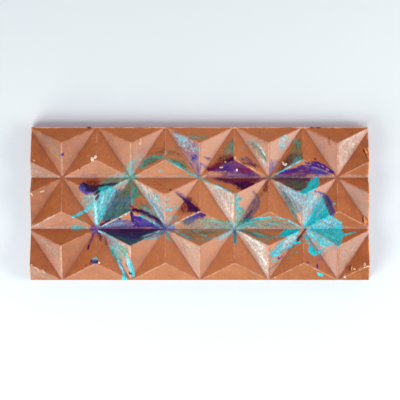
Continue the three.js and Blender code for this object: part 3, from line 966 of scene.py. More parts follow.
# %% Loose flecks along a ridge
LOOSE_FLECKS = [(16.4, 3.6, 1.2), (17, 1.6, 1.6), (18.5, 1.9, 1.1), (16.6, -0.4, 1.3), (17.4, -2.4, 2),
                (19.4, -3.2, 1.2), (17.9, -5.3, 1.4)]
for x, y, size in LOOSE_FLECKS:
    dot("teal", (x, y), 1.4 * size, 0.75, feather=0.7)
    dot("aqua", (x + 0.2, y + 0.2), 0.8 * size, 0.5)
stroke("aqua", [(17, 3), (17.2, -3), (18, -6), (17, -9)], 1.1, 0.45, streaks=0.7)
patch("sage", [(16, -3), (20, -3.6), (21.4, -6.6), (19, -9), (16.4, -9.6)], 0.65, feather=1.2, streaks=0.6,
      run=-65)
patch("silver", [(16, -4), (20.5, -5), (20, -8), (17, -10)], 0.4, feather=1, streaks=0.9, run=-60)
stroke("green", [(22.6, -7.4), (19, -9), (17.4, -10)], 1, 0.8, streaks=0.4)
tell()

# %% The dark plume
patch("mauve", [(21.6, -2.6), (25.4, 3), (26.6, 1), (25.6, -3), (22, -6.4), (19.6, -7.2)], 0.6, feather=1.2)
stroke("mauve", [(24, 5.6), (25.6, 3), (26, 0.6), (25.2, -2), (23.6, -4), (21.4, -6)],
       (0.6, 2, 2.6, 2.8, 2.4, 1.4), 0.55, feather=1.2, streaks=0.5)
stroke("wine", [(24.2, 5.8), (26.2, 3.4), (26.8, 0.6), (26.1, -2), (24.6, -4), (22.4, -6)],
       (0.4, 0.7, 0.9, 1.2, 1.4, 0.9), 0.35, feather=0.7)
patch("charcoal", [(22, -2.6), (25, 2.6), (26.4, 1), (25.6, -3), (22.6, -6), (20.4, -6.8)], 0.45,
      feather=1.2, streaks=0.6)
stroke("charcoal", [(24.6, 5.4), (26.6, 3), (27, 0.6), (26.4, -1.6)], (0.4, 0.8, 0.8, 0.5), 0.5, feather=0.5)
stroke("night", [(25.6, 4.6), (27, 1.6), (26.8, -1)], (0.4, 0.6, 0.4), 0.35, streaks=0.5)
stroke("grape", [(23.6, -3.6), (21.4, -6.2), (20.2, -7)], (0.6, 1.2, 0.8), 0.7)
patch("slate", [(24.2, -6.2), (22.4, -6), (18, -9.2), (17.6, -10.4), (22, -8.2)], 0.85, feather=0.8, run=30)
patch("maroon", [(28.6, 5.6), (31.2, 5), (31.2, 10), (30, 9.5)], 0.7, feather=0.8, on=[(1, 7, "left")])
dot("olive", (28, 4), 2, 0.6, feather=1)
stroke("sage", [(14, -10.6), (17.4, -11)], 6, 0.7, feather=2.4, ragged=1)
stroke("silver", [(14.8, -11.2), (16.6, -11.4)], 4.4, 0.65, feather=1.8, ragged=0.8)
stroke("teal", [(13, -11.8), (15.6, -10.6), (18.6, -10)], 1.8, 0.35, feather=1.2, streaks=0.8)
stroke("silver", [(14, -10.4), (16.8, -10.6)], 2.4, 0.45, feather=1.2, streaks=0.4)
stroke("slate", [(15.9, -12.4), (16.1, -15), (16, -18)], (1.5, 1.3, 1.1), 1)
stroke("turquoise", [(16, -16.8), (16.4, -18)], 0.9, 0.5)
tell()

# %% Smears in the middle row, at the middle
for path in [[(-26, 10.4), (-19, 9.2), (-15, 7)], [(-24, 8.6), (-17, 8.2)], [(-21, 6.6), (-14, 6.4)],
             [(-12, 9), (-9, 8)]]:
    stroke("maroon", path, 0.7, 0.25, streaks=0.7)
dot("grape", (-13.3, 6), 1, 0.8)
dot("teal", (-14.8, 5.2), 1, 0.7)
tell()

# %% The frosted facet
FROSTED = [(1, 4, "left")]
patch("silver", [(-27, 8), (-19, 3.5), (-16.2, -1), (-16.2, -10), (-21, -3)], 0.6, feather=1.4, streaks=0.5,
      run=-58, on=FROSTED)
patch("haze", [(-29.5, 10.6), (-22, 6), (-21, 3), (-27, 6)], 0.6, streaks=0.6, run=-58, on=FROSTED)
patch("steel", [(-24.6, 4), (-20.4, -0.6), (-16.4, -6), (-16.2, -10), (-20.5, -3.6)], 0.6, streaks=0.6,
      run=-57, on=FROSTED)
stroke("ice", [(-24.5, 3.8), (-20.4, -2.4), (-17, -8)], (1, 1.1, 0.7), 0.5, streaks=0.7, on=FROSTED)
speckle("aqua", [(-22, 4.4), (-16.6, 4), (-17, 0.6), (-21.5, 0)], 0.65, size=0.6, share=0.6, on=FROSTED)
speckle("ice", [(-24.4, 4.4), (-20, 4), (-18.5, -2), (-22, 0.5)], 0.6, size=0.6, share=0.5, on=FROSTED)
stroke("sage", [(-29.8, 9.6), (-23.6, 0.4), (-18.4, -7.4)], 1, 0.6, streaks=0.5, on=FROSTED)
TEAL_DASHES = [[(-15.5, 1.5), (-13.7, 1.6)], [(-15.5, -0.8), (-14, -0.9)], [(-15.6, -2.9), (-13.3, -3.2)],
               [(-13.4, -2.1), (-10.4, -2)]]
for path in TEAL_DASHES:
    stroke("turquoise", path, 0.8, 0.8, streaks=0.5)
    stroke("aqua", path, 0.4, 0.4)
stroke("teal", [(-15, -6), (-13, -6), (-9, -6.4)], 0.7, 0.5, streaks=0.6)
patch("silver", [(-15.4, -6), (-11.5, -5.5), (-10, -7), (-14.4, -10.8)], 0.5, feather=0.9, streaks=0.6)
tell()

# %% The dark dart
patch("maroon", [(-9.6, 1.6), (-4, 2), (-0.6, -1.6), (-0.4, -3.6), (-4, -5), (-9, -5)], 0.65, feather=2.6,
      ragged=0.1, run=-40, on=[(1, 5, "left")])
patch("wine", [(-11.2, 5), (-8.6, 4.4), (-4, 2), (-6, -0.5)], 0.7, feather=0.8, streaks=0.6, run=-42)
stroke("iris", [(-10.4, 4.4), (-8, 2.8), (-6, 1)], (0.5, 1, 1.2), 0.6, streaks=0.6)
stroke("grape", [(-10, 4), (-7.6, 2.4), (-5.4, 0.4), (-3.4, -1.8), (-0.6, -3.2)], (0.2, 0.6, 2, 2.4, 1.2), 1)
stroke("grape", [(-5, -3), (-1.8, -3.6)], 2, 0.7, feather=1, streaks=0.5)
tell()

# %% Colours under the dart
FRONT_OF_5 = [(1, 5, "base")]
patch("wine", [(-7, -7), (-1, -4.5), (1.4, -3.8), (2.6, -5.2), (1.4, -6.8), (-3, -8.4), (-6.6, -9.6)], 0.7,
      feather=1, run=20, on=FRONT_OF_5)
patch("iris", [(-8, -8), (-2, -5.2), (-1, -6.8), (-3, -9), (-7, -10)], 0.85, feather=1, streaks=0.4, run=20,
      on=FRONT_OF_5)
patch("wine", [(-7.6, -7.8), (-2, -5.2), (-1, -6.6), (-6, -9.4)], 0.45, feather=1, streaks=0.8, run=20,
      on=FRONT_OF_5)
patch("violet", [(-3, -5.5), (-0.6, -4.3), (1, -3.7), (2.4, -5.2), (1.4, -6.2), (-1, -5.8), (-3, -6.4)], 0.9,
      run=25, on=FRONT_OF_5)
stroke("maroon", [(-1.6, -5), (0.4, -4.8), (1.2, -5.6)], 0.7, 0.6, streaks=0.6)
stroke("caramel", [(-1.2, -4.6), (0.2, -4.2)], 0.4, 0.8)
stroke("haze", [(-12, -9.7), (-5, -6.2), (-0.4, -3.9)], 0.5, 0.7, feather=0.3)
stroke("silver", [(-14.4, -10.6), (-10, -8.6)], 1.2, 0.6)
patch("olive", [(-8, -8), (2, -7), (9, -7.6), (15, -10.6), (14, -11.5), (-10, -11.5)], 0.42, streaks=0.6,
      run=-8, on=FRONT_OF_5)
patch("mauve", [(0, -7.4), (9, -7.8), (15, -10.6), (14, -11.5), (-8, -11.5), (-1, -8.6)], 0.3, streaks=0.7,
      run=-8, on=FRONT_OF_5)
patch("sage", [(2, -7), (9, -7.6), (15, -10.6), (14, -11.5), (-8, -11.5), (-1, -8.6)], 0.34, streaks=0.9,
      run=-8, on=FRONT_OF_5)
stroke("sage", [(0.4, -7.6), (6, -8), (11, -8.8), (14.4, -10.4)], (0.8, 1.4, 1.5, 1.2), 0.75, streaks=0.6)
stroke("teal", [(1, -7.8), (6, -7.7), (11, -8.6), (14.4, -10)], 0.5, 0.5, streaks=0.8)
stroke("cyan", [(10, -8.3), (13, -9)], 0.5, 0.7, streaks=0.4)
patch("silver", [(4, -9.6), (12, -9.8), (14, -11.5), (-2, -11.5)], 0.25, streaks=0.6, run=-5, on=FRONT_OF_5)
tell()

# %% Smears in the front row, at the middle
BACK_OF_5 = [(2, 5, "base")]
patch("olive", [(-15, -12), (15, -12), (5, -17), (0, -19), (-5, -17)], 0.3, streaks=0.95, run=5,
      on=BACK_OF_5)
patch("green", [(-12, -12.6), (8, -12.4), (4, -16.4), (-6, -16)], 0.32, streaks=1, run=-12, on=BACK_OF_5)
patch("sage", [(-13, -12), (13, -12), (12, -13), (-12, -13)], 0.4, streaks=0.9, run=0, on=BACK_OF_5)
speckle("teal", [(-12, -12), (13, -12), (4, -17), (-5, -17)], 0.5, share=0.3, on=BACK_OF_5)
for path in [[(-10.6, -12.8), (-9.6, -13.2)], [(-8.4, -13.8), (-5.5, -15.6)], [(-2.6, -12.8), (-1.2, -13.2)],
             [(1, -14.4), (3, -15)]]:
    stroke("aqua", path, 0.7, 0.7)
stroke("teal", [(-6, -15.8), (0, -17), (6, -16)], 0.8, 0.6, streaks=0.5)
stroke("teal", [(-15, -13.2), (-14.9, -15.4), (-14, -16.6), (-12, -16.9)], (1.3, 1.1, 0.8, 0.5), 0.7)
# Bloom, partly a painted sheen, on this lit left-front facet.
patch("bloom", [(-14, -12.6), (-0.4, -19), (-0.4, -33)], 0.3, feather=1.6, streaks=0.5, run=-60,
      on=[(2, 5, "left")])
patch("haze", [(-14.4, -12.8), (-9, -15.6), (-2, -19.2), (-3, -21), (-8, -17.5)], 0.28, streaks=0.6, run=-30)
patch("silver", [(6.4, -16), (14.6, -12), (14.6, -14), (9, -17)], 0.7, feather=0.9)
patch("aqua", [(7, -15.8), (14, -12.6), (14, -13.8), (9, -16.8)], 0.6, feather=0.8, streaks=0.8, run=28)
BACK_OF_7 = [(2, 7, "base")]
patch("olive", [(16.5, -11.8), (46, -11.8), (31, -19.4)], 0.22, streaks=0.9, run=-10, on=BACK_OF_7)
patch("green", [(18, -12), (26, -12.2), (33, -14.8), (31, -16), (24, -14.4)], 0.28, streaks=0.95, run=-18,
      on=BACK_OF_7)
stroke("slate", [(19, -12.4), (22, -13.2), (25, -14.6), (28, -15.4)], (0.8, 0.9, 0.8, 0.6), 0.85,
       streaks=0.5)
stroke("teal", [(26, -14.6), (31, -15.7), (36, -15.4), (39.5, -13.8)], (0.8, 0.9, 1, 0.8), 0.75, streaks=0.4)
stroke("turquoise", [(24.5, -13.4), (29, -14.9)], 0.6, 0.6, streaks=0.5)
stroke("sage", [(25, -16), (29, -17.4), (31, -17)], 0.9, 0.5, streaks=0.5)
tell()

# %% The bloomed facet, partly painted glare
GLARE = [(2, 7, "left")]
# This lit facet glares in the key light: its whitish bloom, haze and cream are partly a painted highlight.
patch("bloom", [(16.6, -12), (31.2, -19.4), (31.2, -34)], 0.3, feather=1.6, streaks=0.5, run=-60, on=GLARE)
patch("haze", [(17, -12), (25, -15.6), (31.2, -19.4), (31.2, -35), (28, -28), (26, -24.3), (23, -19.6)],
      0.55, run=-60, on=GLARE)
patch("cream", [(18, -12.6), (25.4, -16.6), (28.6, -19.6), (28.6, -22), (27, -24), (24, -20)], 0.42,
      streaks=0.8, run=-35, on=GLARE)
patch("bare", [(29.4, -19.8), (31.2, -19.8), (31.2, -24), (30.2, -24)], 0.6, feather=0.8, streaks=0.3,
      run=90, on=GLARE)
stroke("cream", [(28, -24.6), (30.2, -27.6)], 1, 0.5, streaks=0.5, on=GLARE)
stroke("silver", [(22, -17), (27, -19)], 0.5, 0.4, streaks=0.5, on=GLARE)
tell()

# %% The turquoise beside it
OVER_RIDGE = [(2, 7, "right"), (2, 8, "left")]
patch("steel", [(45.8, -12), (40, -15), (36, -17.8), (31.6, -22.6), (32, -24.5), (34.5, -24.4), (38, -22),
                (42, -20.6), (44.5, -17.6)], 0.5, streaks=0.5, run=38, on=OVER_RIDGE)
patch("aqua", [(45.6, -12.2), (40, -15), (36.6, -18), (31.8, -22.8), (32.2, -24.3), (34.3, -24), (38, -21.6),
               (41.6, -20), (43.6, -17)], 0.78, streaks=0.8, run=38, on=OVER_RIDGE)
patch("ice", [(44.6, -13), (40, -15.6), (38, -18), (41, -18), (43, -16)], 0.6, streaks=0.8, run=40,
      on=OVER_RIDGE)
patch("turquoise", [(46, -11.9), (38.6, -12), (36.6, -14.4), (39.6, -15.4), (44, -13.3)], 1, streaks=0.3,
      run=30, on=BACK_OF_7)
tell()

# %% Its edges and drops
stroke("turquoise", [(44.4, -13.4), (38.5, -17.4), (32.5, -23)], (0.8, 0.9, 0.7), 0.85, streaks=0.6)
stroke("turquoise", [(43.6, -17), (41.5, -19.8)], 0.8, 0.8)
stroke("turquoise", [(31.8, -23.2), (33.6, -24.2), (36, -23)], 0.8, 0.85)
dot("cyan", (43.6, -18.2), 1.2, 0.9)
stroke("cyan", [(44.2, -18.4), (45.6, -17.8)], 0.9, 0.95)
stroke("cyan", [(33, -26.3), (34.8, -26.2)], 0.7, 0.85)
dot("violet", (36, -25), 1.2, 0.85)
dot("violet", (37.3, -24.3), 0.9, 0.8)
stroke("olive", [(31.3, -30.3), (35.5, -27.3)], 0.5, 0.7)
dot("teal", (44, -22.5), 0.9, 0.7)
dot("teal", (40, -25), 0.8, 0.6)
for middle in [(25.2, -31.4), (26.3, -32.4), (27, -31.2)]:
    dot("teal", middle, 0.8, 0.6)
tell()

# %% The bright arc under the peak
FRONT_OF_7 = [(1, 7, "base")]
patch("olive", [(17, -11.4), (24, -8.2), (40, -8.2), (46, -11.4)], 0.45, streaks=0.6, run=-3, on=FRONT_OF_7)
patch("mauve", [(17, -11.4), (24, -8), (40, -8), (46, -11.4)], 0.3, streaks=0.7, run=-3, on=FRONT_OF_7)
patch("sage", [(17, -11.4), (24, -8), (40, -8), (46, -11.4)], 0.38, streaks=0.9, run=-3, on=FRONT_OF_7)
stroke("teal", [(20, -9.2), (24, -7.8), (28, -7.1), (32, -6.7)], (1.2, 1.7, 1.4, 0.9), 0.95, streaks=0.4)
stroke("turquoise", [(25, -7.2), (28, -6.7), (32, -6.5)], (0.4, 0.6, 0.6), 0.75)
stroke("teal", [(17.4, -10.8), (21, -8.9)], (1.2, 1), 0.8)
stroke("turquoise", [(32, -6.5), (36, -6.7), (39, -7.4), (43, -9.2), (44.6, -10.4)],
       (0.7, 0.6, 0.8, 0.8, 0.6), 0.75, streaks=0.5)
patch("teal", [(28, -8.4), (34, -8.2), (38, -9.6), (34, -10.4), (28, -10)], 0.6, streaks=0.9, run=0,
      on=FRONT_OF_7)
patch("teal", [(18, -10.2), (26, -8.8), (26, -10), (18, -11.2)], 0.7, streaks=0.8, run=5, on=FRONT_OF_7)
stroke("ice", [(40.6, -8), (44, -10), (46.3, -10.9)], 0.6, 0.7, feather=0.3)
patch("silver", [(16.5, -10.8), (45, -10.6), (45, -11.6), (16.5, -11.6)], 0.3, streaks=0.6, run=0,
      on=FRONT_OF_7)
patch("bare", [(34, -9.2), (43, -9.8), (45, -11.4), (33, -11)], 0.4, streaks=0.9, run=-3, on=FRONT_OF_7)
tell()

# %% [markdown]
# ## The smear at the right
# The same turquoise was dragged down over three pyramids, with a violet stripe beside it.

# %% Dark wash above the right turquoise
DARK_BACK = [(1, 8, "base")]
patch("charcoal", [(33, 11.5), (50, 11.5), (50, 8), (46.5, 5.2), (43, 5.6), (38, 8.6)], 0.95, feather=1,
      run=10, on=DARK_BACK)
patch("wine", [(35, 11.6), (50, 11.6), (50, 10.4), (36, 10.6)], 0.75, feather=0.8, run=0, on=DARK_BACK)
patch("green", [(42, 9), (47, 9.4), (47, 7), (43, 6.4)], 0.35, feather=1, streaks=0.8, run=20, on=DARK_BACK)
patch("wine", [(54, 11.6), (61, 11.6), (58, 10), (55, 9.6)], 0.35, feather=1, run=0, on=DARK_BACK)
patch("turquoise", [(45, 5.2), (47.5, 6.5), (48.5, 7.2), (49, 9), (51, 11.2), (52.5, 12), (54, 11.6),
                    (54.3, 9), (53, 7.2), (51.5, 5.6), (49, 4.6), (47.2, 3.8), (45.4, 4.3)], 1, streaks=0.12,
      run=50)
patch("cyan", [(47, 5.2), (50.5, 5.8), (53.8, 9.4), (53.4, 11.4), (51, 10.8), (49, 7.4)], 0.9, streaks=0.7,
      run=50)
tell()

# %% The right turquoise down to the valley
LEFT_OF_8 = [(1, 8, "left")]
patch("silver", [(34, 10.4), (46.9, 4.2), (46.9, -4), (43.6, -7), (39, 0)], 0.6, streaks=0.5, run=-58,
      on=LEFT_OF_8)
patch("steel", [(36, 9), (46.9, 4.2), (46.9, -4), (43.6, -7), (39, 0)], 0.75, streaks=0.8, run=-58,
      on=LEFT_OF_8)
patch("haze", [(32.2, 11.4), (40, 7.4), (43, 4), (37, 6)], 0.4, streaks=0.8, run=-35, on=LEFT_OF_8)
patch("ice", [(38, 7.6), (46, 4), (46.6, -1), (42.6, 1.8)], 0.4, streaks=0.95, run=-50, on=LEFT_OF_8)
patch("silver", [(38, 6), (42.4, 0), (45, -2.6), (46, 1), (42.6, 4.4)], 0.35, streaks=0.9, run=-57,
      on=LEFT_OF_8)
patch("olive", [(33, 10.2), (36, 6.6), (42.4, -3.6), (43.4, -3), (38, 5)], 0.65, feather=0.9, run=-57)
patch("sage", [(40, -0.6), (43, -2.8), (44.8, -4), (45, -7.5), (43.4, -7)], 0.75, feather=0.8, run=-57)
patch("bare", [(43.8, -4.4), (46.6, -4.2), (46.7, -9.6), (44.8, -8.6)], 0.85, feather=0.8, streaks=0.4,
      run=-70, on=LEFT_OF_8)
for path in [[(44.8, -5), (46.2, -8.4)], [(46, -4.4), (46.7, -8.8)]]:
    stroke("haze", path, 0.4, 0.25, streaks=0.6)
stroke("caramel", [(45, -5.4), (46.2, -9)], 0.8, 0.3, streaks=0.6, on=LEFT_OF_8)
tell()

# %% The turquoise right of the peak
RIGHT_OF_8 = [(1, 8, "right")]
patch("aqua", [(46.9, 4), (49.5, 4.6), (53.4, 5), (55.2, 3.6), (57, 1.8), (57.4, -1), (58.6, -4.8),
               (59.5, -6.5), (54, -9), (49, -11.4), (47, -11.8)], 0.95, streaks=0.25, run=62, on=RIGHT_OF_8)
patch("turquoise", [(47, 3.4), (53, 3), (54, 1), (49, -7), (47.2, -10)], 0.6, streaks=1, run=66,
      on=RIGHT_OF_8)
patch("silver", [(47, 3.8), (53.6, 3.6), (54, 1.6), (49.6, -6), (47, -9)], 0.6, streaks=0.95, run=68,
      on=RIGHT_OF_8)
patch("ice", [(49.4, 3.8), (53.6, 3.6), (54, 1.6), (50.6, -4), (49, -2)], 0.35, streaks=0.95, run=64,
      on=RIGHT_OF_8)
patch("mauve", [(47, 3.8), (53.6, 3.6), (54, 1.6), (49.6, -6), (47, -9)], 0.25, streaks=1, run=66,
      fibre=0.22, on=RIGHT_OF_8)
patch("haze", [(47, 3.6), (48.4, 3.6), (48.6, -8), (47.2, -9.4)], 0.5, streaks=0.9, run=88, on=RIGHT_OF_8)
patch("turquoise", [(53, 2.8), (57, 2), (57.5, -1), (58.8, -5), (58, -6.4), (47.5, -11.6)], 0.95,
      streaks=0.2, on=[(1, 9, "left")])
patch("steel", [(53.6, 2.4), (57, 1), (57, -3), (55, -6), (51, -8)], 0.4, streaks=0.8, run=62,
      on=[(1, 9, "left")])
patch("cyan", [(54.4, 2), (57, 1), (58, -4), (55, -7), (49, -9.6)], 0.7, streaks=0.8, run=62,
      on=[(1, 9, "left")])
patch("ice", [(53.6, 1.6), (57, 1), (57, -3), (53, -6)], 0.3, streaks=0.9, run=62, on=[(1, 9, "left")])
tell()

# %% Gaps in the turquoise
patch("slate", [(47.6, -11.2), (51, -8.6), (53, -8.6), (50, -10.4)], 0.4, streaks=0.5, run=40)
patch("haze", [(50.4, 5.2), (52.2, 3.6), (54.6, 1.2), (53.8, 3.8), (51.4, 5.9)], 0.7, feather=0.5)
patch("bare", [(50.4, 5.6), (52.6, 3.4), (54.6, 1.2), (54.2, 3), (52, 5.2)], 0.8, feather=0.5, streaks=0.5)
stroke("bare", [(49.2, -2.4), (49.7, -5)], 0.8, 0.75)
stroke("teal", [(53.6, -1), (51.4, -5.4), (49.6, -9)], 0.6, 0.6, streaks=0.7)
speckle("bare", [(47, 2.5), (49, 2.5), (49.6, -10), (47, -10)], 0.55, size=0.9, share=0.45)
tell()

# %% The violet stripe
stroke("lavender", [(52, 5.5), (54, 5), (56.4, 4.4)], 0.8, 0.85)
patch("iris", [(55.6, 4.6), (58, 3.6), (59.7, 1), (60, -2), (61.4, -4), (60.7, -5.7), (59.2, -5.6), (58, -4),
               (57.3, -1), (56.6, 1.5)], 1, streaks=0.2, run=-70)
patch("violet", [(57.6, 3.4), (59.6, 1), (59.9, -2), (61.1, -4.2), (60, -4.4), (58.6, -1), (58.2, 1)], 0.7,
      streaks=0.5, run=-70)
stroke("wine", [(57.4, 1), (58.2, -2), (59.6, -5)], 1, 0.6, streaks=0.5)
patch("charcoal", [(56.2, 4), (58.8, 2.6), (59.6, -1), (60.2, -4.6), (58.6, -4.6), (57.2, -0.6)], 0.45,
      streaks=1, run=-72, fibre=0.25)
stroke("bare", [(59.6, -4.2), (58.6, -2.6)], 0.5, 0.6, streaks=0.5)
dot("cyan", (61, -0.5), 1, 0.9)
tell()

# %% The right turquoise over the valley
patch("turquoise", [(58.8, -5.8), (60.3, -6.6), (61.6, -7.8), (63.8, -8.7), (64.1, -10.5), (63.8, -12.3),
                    (64.9, -13), (64.6, -15.5), (64, -17.8), (62.4, -19.6), (60.4, -19.2), (57.6, -20.5),
                    (55.6, -21.6), (54, -23.2), (52, -23.8), (50, -22.4), (48.8, -17), (48.2, -12.4),
                    (50, -10.6), (55, -8.2)], 1, streaks=0.12, ragged=0.5, run=-35)
OVER_VALLEY = [(1, 9, "base")]
patch("aqua", [(49, -11.6), (55, -8.3), (59, -6.5), (59, -9), (57, -11.6)], 0.7, streaks=0.7, run=-25,
      on=OVER_VALLEY)
patch("cyan", [(57, -11.4), (60, -6.6), (64.4, -8.8), (64.6, -11.4)], 0.5, streaks=0.8, run=-25,
      on=OVER_VALLEY)
for path in [[(52, -10.8), (58, -7.3)], [(54.5, -11.3), (60.5, -7.6)], [(58, -11.3), (62.5, -8.9)],
             [(60.4, -8), (58, -11)]]:
    stroke("ice", path, 0.5, 0.6, streaks=0.4)
stroke("steel", [(58, -10.6), (62.6, -7.8)], 0.5, 0.5, streaks=0.5)
patch("teal", [(49, -11.4), (55, -8.3), (60, -6.4), (64.4, -8.8), (64.6, -11.4)], 0.35, streaks=0.7, run=-30,
      on=OVER_VALLEY)
patch("cyan", [(50, -11.4), (56, -8.4), (60, -6.6), (64.4, -8.9), (64.6, -11.4)], 0.5, streaks=0.8, run=-30,
      on=OVER_VALLEY)
patch("ice", [(51, -10.4), (56, -8.2), (60, -6.8), (62, -9), (58, -10.6)], 0.35, streaks=0.9, run=-30,
      on=OVER_VALLEY)
patch("mauve", [(49, -11.4), (55, -8.3), (60, -6.4), (64.4, -8.8), (64.6, -11.4)], 0.25, streaks=1, run=-32,
      fibre=0.22, on=OVER_VALLEY)
for path in [[(53, -10), (57, -11.4)], [(56, -8.6), (61, -11.2)], [(59.4, -7), (63.6, -10)],
             [(57.6, -7.6), (62, -11.4)]]:
    stroke("mauve", path, 0.4, 0.75, feather=0.3, streaks=0.5)
tell()

# %% The turquoise below the valley
patch("mauve", [(51, -12), (64.6, -12), (64.8, -16), (62, -18.6), (56, -15.6)], 0.25, streaks=1, run=-34,
      fibre=0.22)
patch("cyan", [(52, -12.2), (64, -12.2), (64.6, -15), (61, -17.6), (57, -15)], 0.5, streaks=0.9, run=-30)
patch("cyan", [(50, -12.2), (60, -12.2), (64.6, -13), (64, -17), (56, -15)], 0.95, streaks=0.5, run=-28)
patch("aqua", [(54, -12.4), (62, -12.4), (64.4, -14), (60, -16)], 0.3, streaks=0.9, run=-28)
patch("teal", [(54, -12.4), (58, -12.2), (61, -14), (58, -15)], 0.3, streaks=1, run=-32)
patch("ice", [(48.8, -12), (52, -12.6), (56, -15.4), (60.4, -18.4), (56, -17), (50.4, -14.6)], 0.7,
      streaks=0.5, run=-28)
patch("steel", [(53, -15.8), (60, -18.6), (59, -20), (53, -18)], 0.4, streaks=0.8, run=-25)
tell()

# %% Its ragged lower edge
UNDER_VALLEY = [(2, 9, "left")]
patch("aqua", [(49, -13), (61, -18.8), (57, -21), (52, -22), (49.6, -18)], 0.8, streaks=0.4, run=-30,
      on=UNDER_VALLEY)
speckle("ice", [(50, -14), (60, -18.4), (57, -21), (52, -22)], 0.8, size=0.9, share=0.5, on=UNDER_VALLEY)
patch("cyan", [(49.6, -14), (60, -18.6), (57, -21), (52, -22), (50, -18)], 0.4, streaks=0.9, run=-30,
      on=UNDER_VALLEY)
speckle("bare", [(47.4, -14), (51, -15.6), (55.6, -18.6), (57, -21), (50.4, -22)], 0.95, size=0.9,
        share=0.62)
speckle("bare", [(57, -18.6), (62, -18.6), (60, -20.6), (57, -21)], 0.8, size=1, share=0.5)
speckle("turquoise", [(48, -14), (52, -18), (56, -22), (51, -23)], 0.9, size=0.9, share=0.5)
for path in [[(49.6, -16.6), (53.6, -20.8)], [(51.6, -16.8), (55.4, -20.2)],
             [(55, -21.8), (58.6, -19.6), (61.6, -18.9)]]:
    stroke("bare", path, 0.7, 0.9, ragged=0.5)
stroke("cyan", [(50.4, -21.4), (52.6, -23), (55, -22.6)], 1.1, 0.9, streaks=0.4)
speckle("turquoise", [(46, -14), (48.6, -14), (50, -20), (47.4, -18)], 0.85, size=1, share=0.5)
stroke("turquoise", [(65, -14.5), (68, -13.9), (70.7, -13.3)], (0.9, 0.7, 0.5), 0.95)
stroke("charcoal", [(55.6, -6.4), (57, -6.6)], 0.7, 0.7)
patch("bare", [(46.8, -11.6), (47.9, -12), (45.4, -15.6), (44.2, -16.6), (44.8, -14.8)], 1, feather=0.4,
      streaks=0.1)
stroke("caramel", [(47, -12), (45.6, -14), (44.6, -15.8)], (0.5, 0.6, 0.3), 0.5, streaks=0.5)
stroke("maroon", [(48.2, -12), (47, -13.6), (45.8, -15.6)], 0.7, 0.6, feather=0.5)
stroke("night", [(47.8, -12.2), (46.3, -14), (45.3, -15.4)], 0.45, 1, feather=0.3, streaks=0)
stroke("night", [(45.4, -15.2), (44.6, -16.8)], 0.8, 1, feather=0.3, streaks=0)
tell()

# %% Smears in the back row, at the right
LEFT_OF_BACK_8 = [(0, 8, "left")]
patch("charcoal", [(34.6, 13), (38, 18.6), (41, 22.6), (46.8, 22.6), (46.8, 19), (40, 15.8)], 0.8, feather=2,
      ragged=0.15, run=50, on=LEFT_OF_BACK_8)
patch("maroon", [(35, 14), (38, 19.6), (43, 23), (44, 20), (40, 16.6)], 0.5, feather=2, ragged=0.15, run=55,
      on=LEFT_OF_BACK_8)
patch("olive", [(40, 20), (46.6, 20), (46.8, 30), (43.4, 28)], 0.45, feather=1.4, streaks=0.7, run=75,
      on=LEFT_OF_BACK_8)
patch("teal", [(40.6, 16.6), (46, 19), (45.4, 20.8), (43, 20.8)], 0.75, feather=0.8, streaks=0.5, run=40,
      on=LEFT_OF_BACK_8)
patch("olive", [(41, 23), (45.4, 23), (46, 29.4), (43.8, 28.6)], 0.55, feather=0.8, streaks=0.6, run=80,
      on=LEFT_OF_BACK_8)
stroke("teal", [(43.4, 28.8), (44.7, 27), (44.4, 24.6), (43, 23.4)], 0.9, 0.6, streaks=0.6)
tell()

# %% The violet smear at the back right
FRONT_OF_8 = [(0, 8, "base")]
patch("wine", [(34, 12.6), (38, 14), (46, 17.2), (48, 16), (50, 13), (46, 11.7), (34, 11.7)], 0.85, run=0,
      on=FRONT_OF_8)
patch("charcoal", [(33, 11.8), (48, 11.8), (48, 13), (36, 13)], 0.5, feather=0.8, run=0, on=FRONT_OF_8)
patch("violet", [(36, 13.6), (40, 15), (46, 16.6), (51, 18.9), (54, 18.2), (57, 16.9), (61, 14), (58, 12.6),
                 (50, 12.6), (44, 13.6)], 0.75, streaks=0.7, run=-8, on=FRONT_OF_8)
patch("grape", [(37, 13.4), (44, 15.6), (50, 15.6), (46, 12.8)], 0.8, streaks=0.95, run=-4, on=FRONT_OF_8)
patch("plum", [(38, 13.2), (46, 16), (52, 14.4), (46, 12.6)], 0.7, streaks=0.95, run=2, on=FRONT_OF_8)
patch("mauve", [(41, 13.6), (50, 16.2), (50, 14.6), (45, 13)], 0.5, streaks=0.95, run=2, on=FRONT_OF_8)
patch("lavender", [(50, 14), (54, 16), (60, 13.8), (56, 12.8)], 0.5, streaks=0.95, run=-20, on=FRONT_OF_8)
patch("maroon", [(42, 13), (50, 15), (54, 13.6), (50, 12.6)], 0.45, feather=1, streaks=0.9, run=-4,
      on=FRONT_OF_8)
tell()

# %% Streaks over the violet smear
stroke("charcoal", [(50, 15.4), (55, 14.8), (59, 13.2)], 0.6, 0.6, streaks=0.8, on=FRONT_OF_8)
stroke("violet", [(36.6, 13.6), (39, 14.6), (40, 14.4)], 1.2, 0.85)
stroke("violet", [(48, 18.1), (50, 17.9), (52, 17.3), (56, 16.6)], 1, 0.95)
stroke("violet", [(51, 18.8), (54, 18), (57, 16.8), (58.8, 15.4)], (0.9, 1.5, 1.7, 1.2), 0.95)
stroke("violet", [(58, 15.8), (60.8, 13.9)], 1.3, 0.85)
stroke("indigo", [(52, 18.4), (56, 17.2), (59.6, 14.8)], 0.4, 0.6)
patch("bare", [(44.6, 18.2), (48, 17.6), (50.5, 17.7), (47, 17.2), (44.6, 17.2)], 0.7, feather=0.5)
patch("bare", [(49, 13.4), (55, 12.7), (50, 11.8), (48.6, 12.6)], 0.65, streaks=0.6, run=0, on=FRONT_OF_8)
stroke("lavender", [(50, 12.1), (56, 12.5), (61.5, 12.1)], 0.7, 0.5, streaks=0.7)
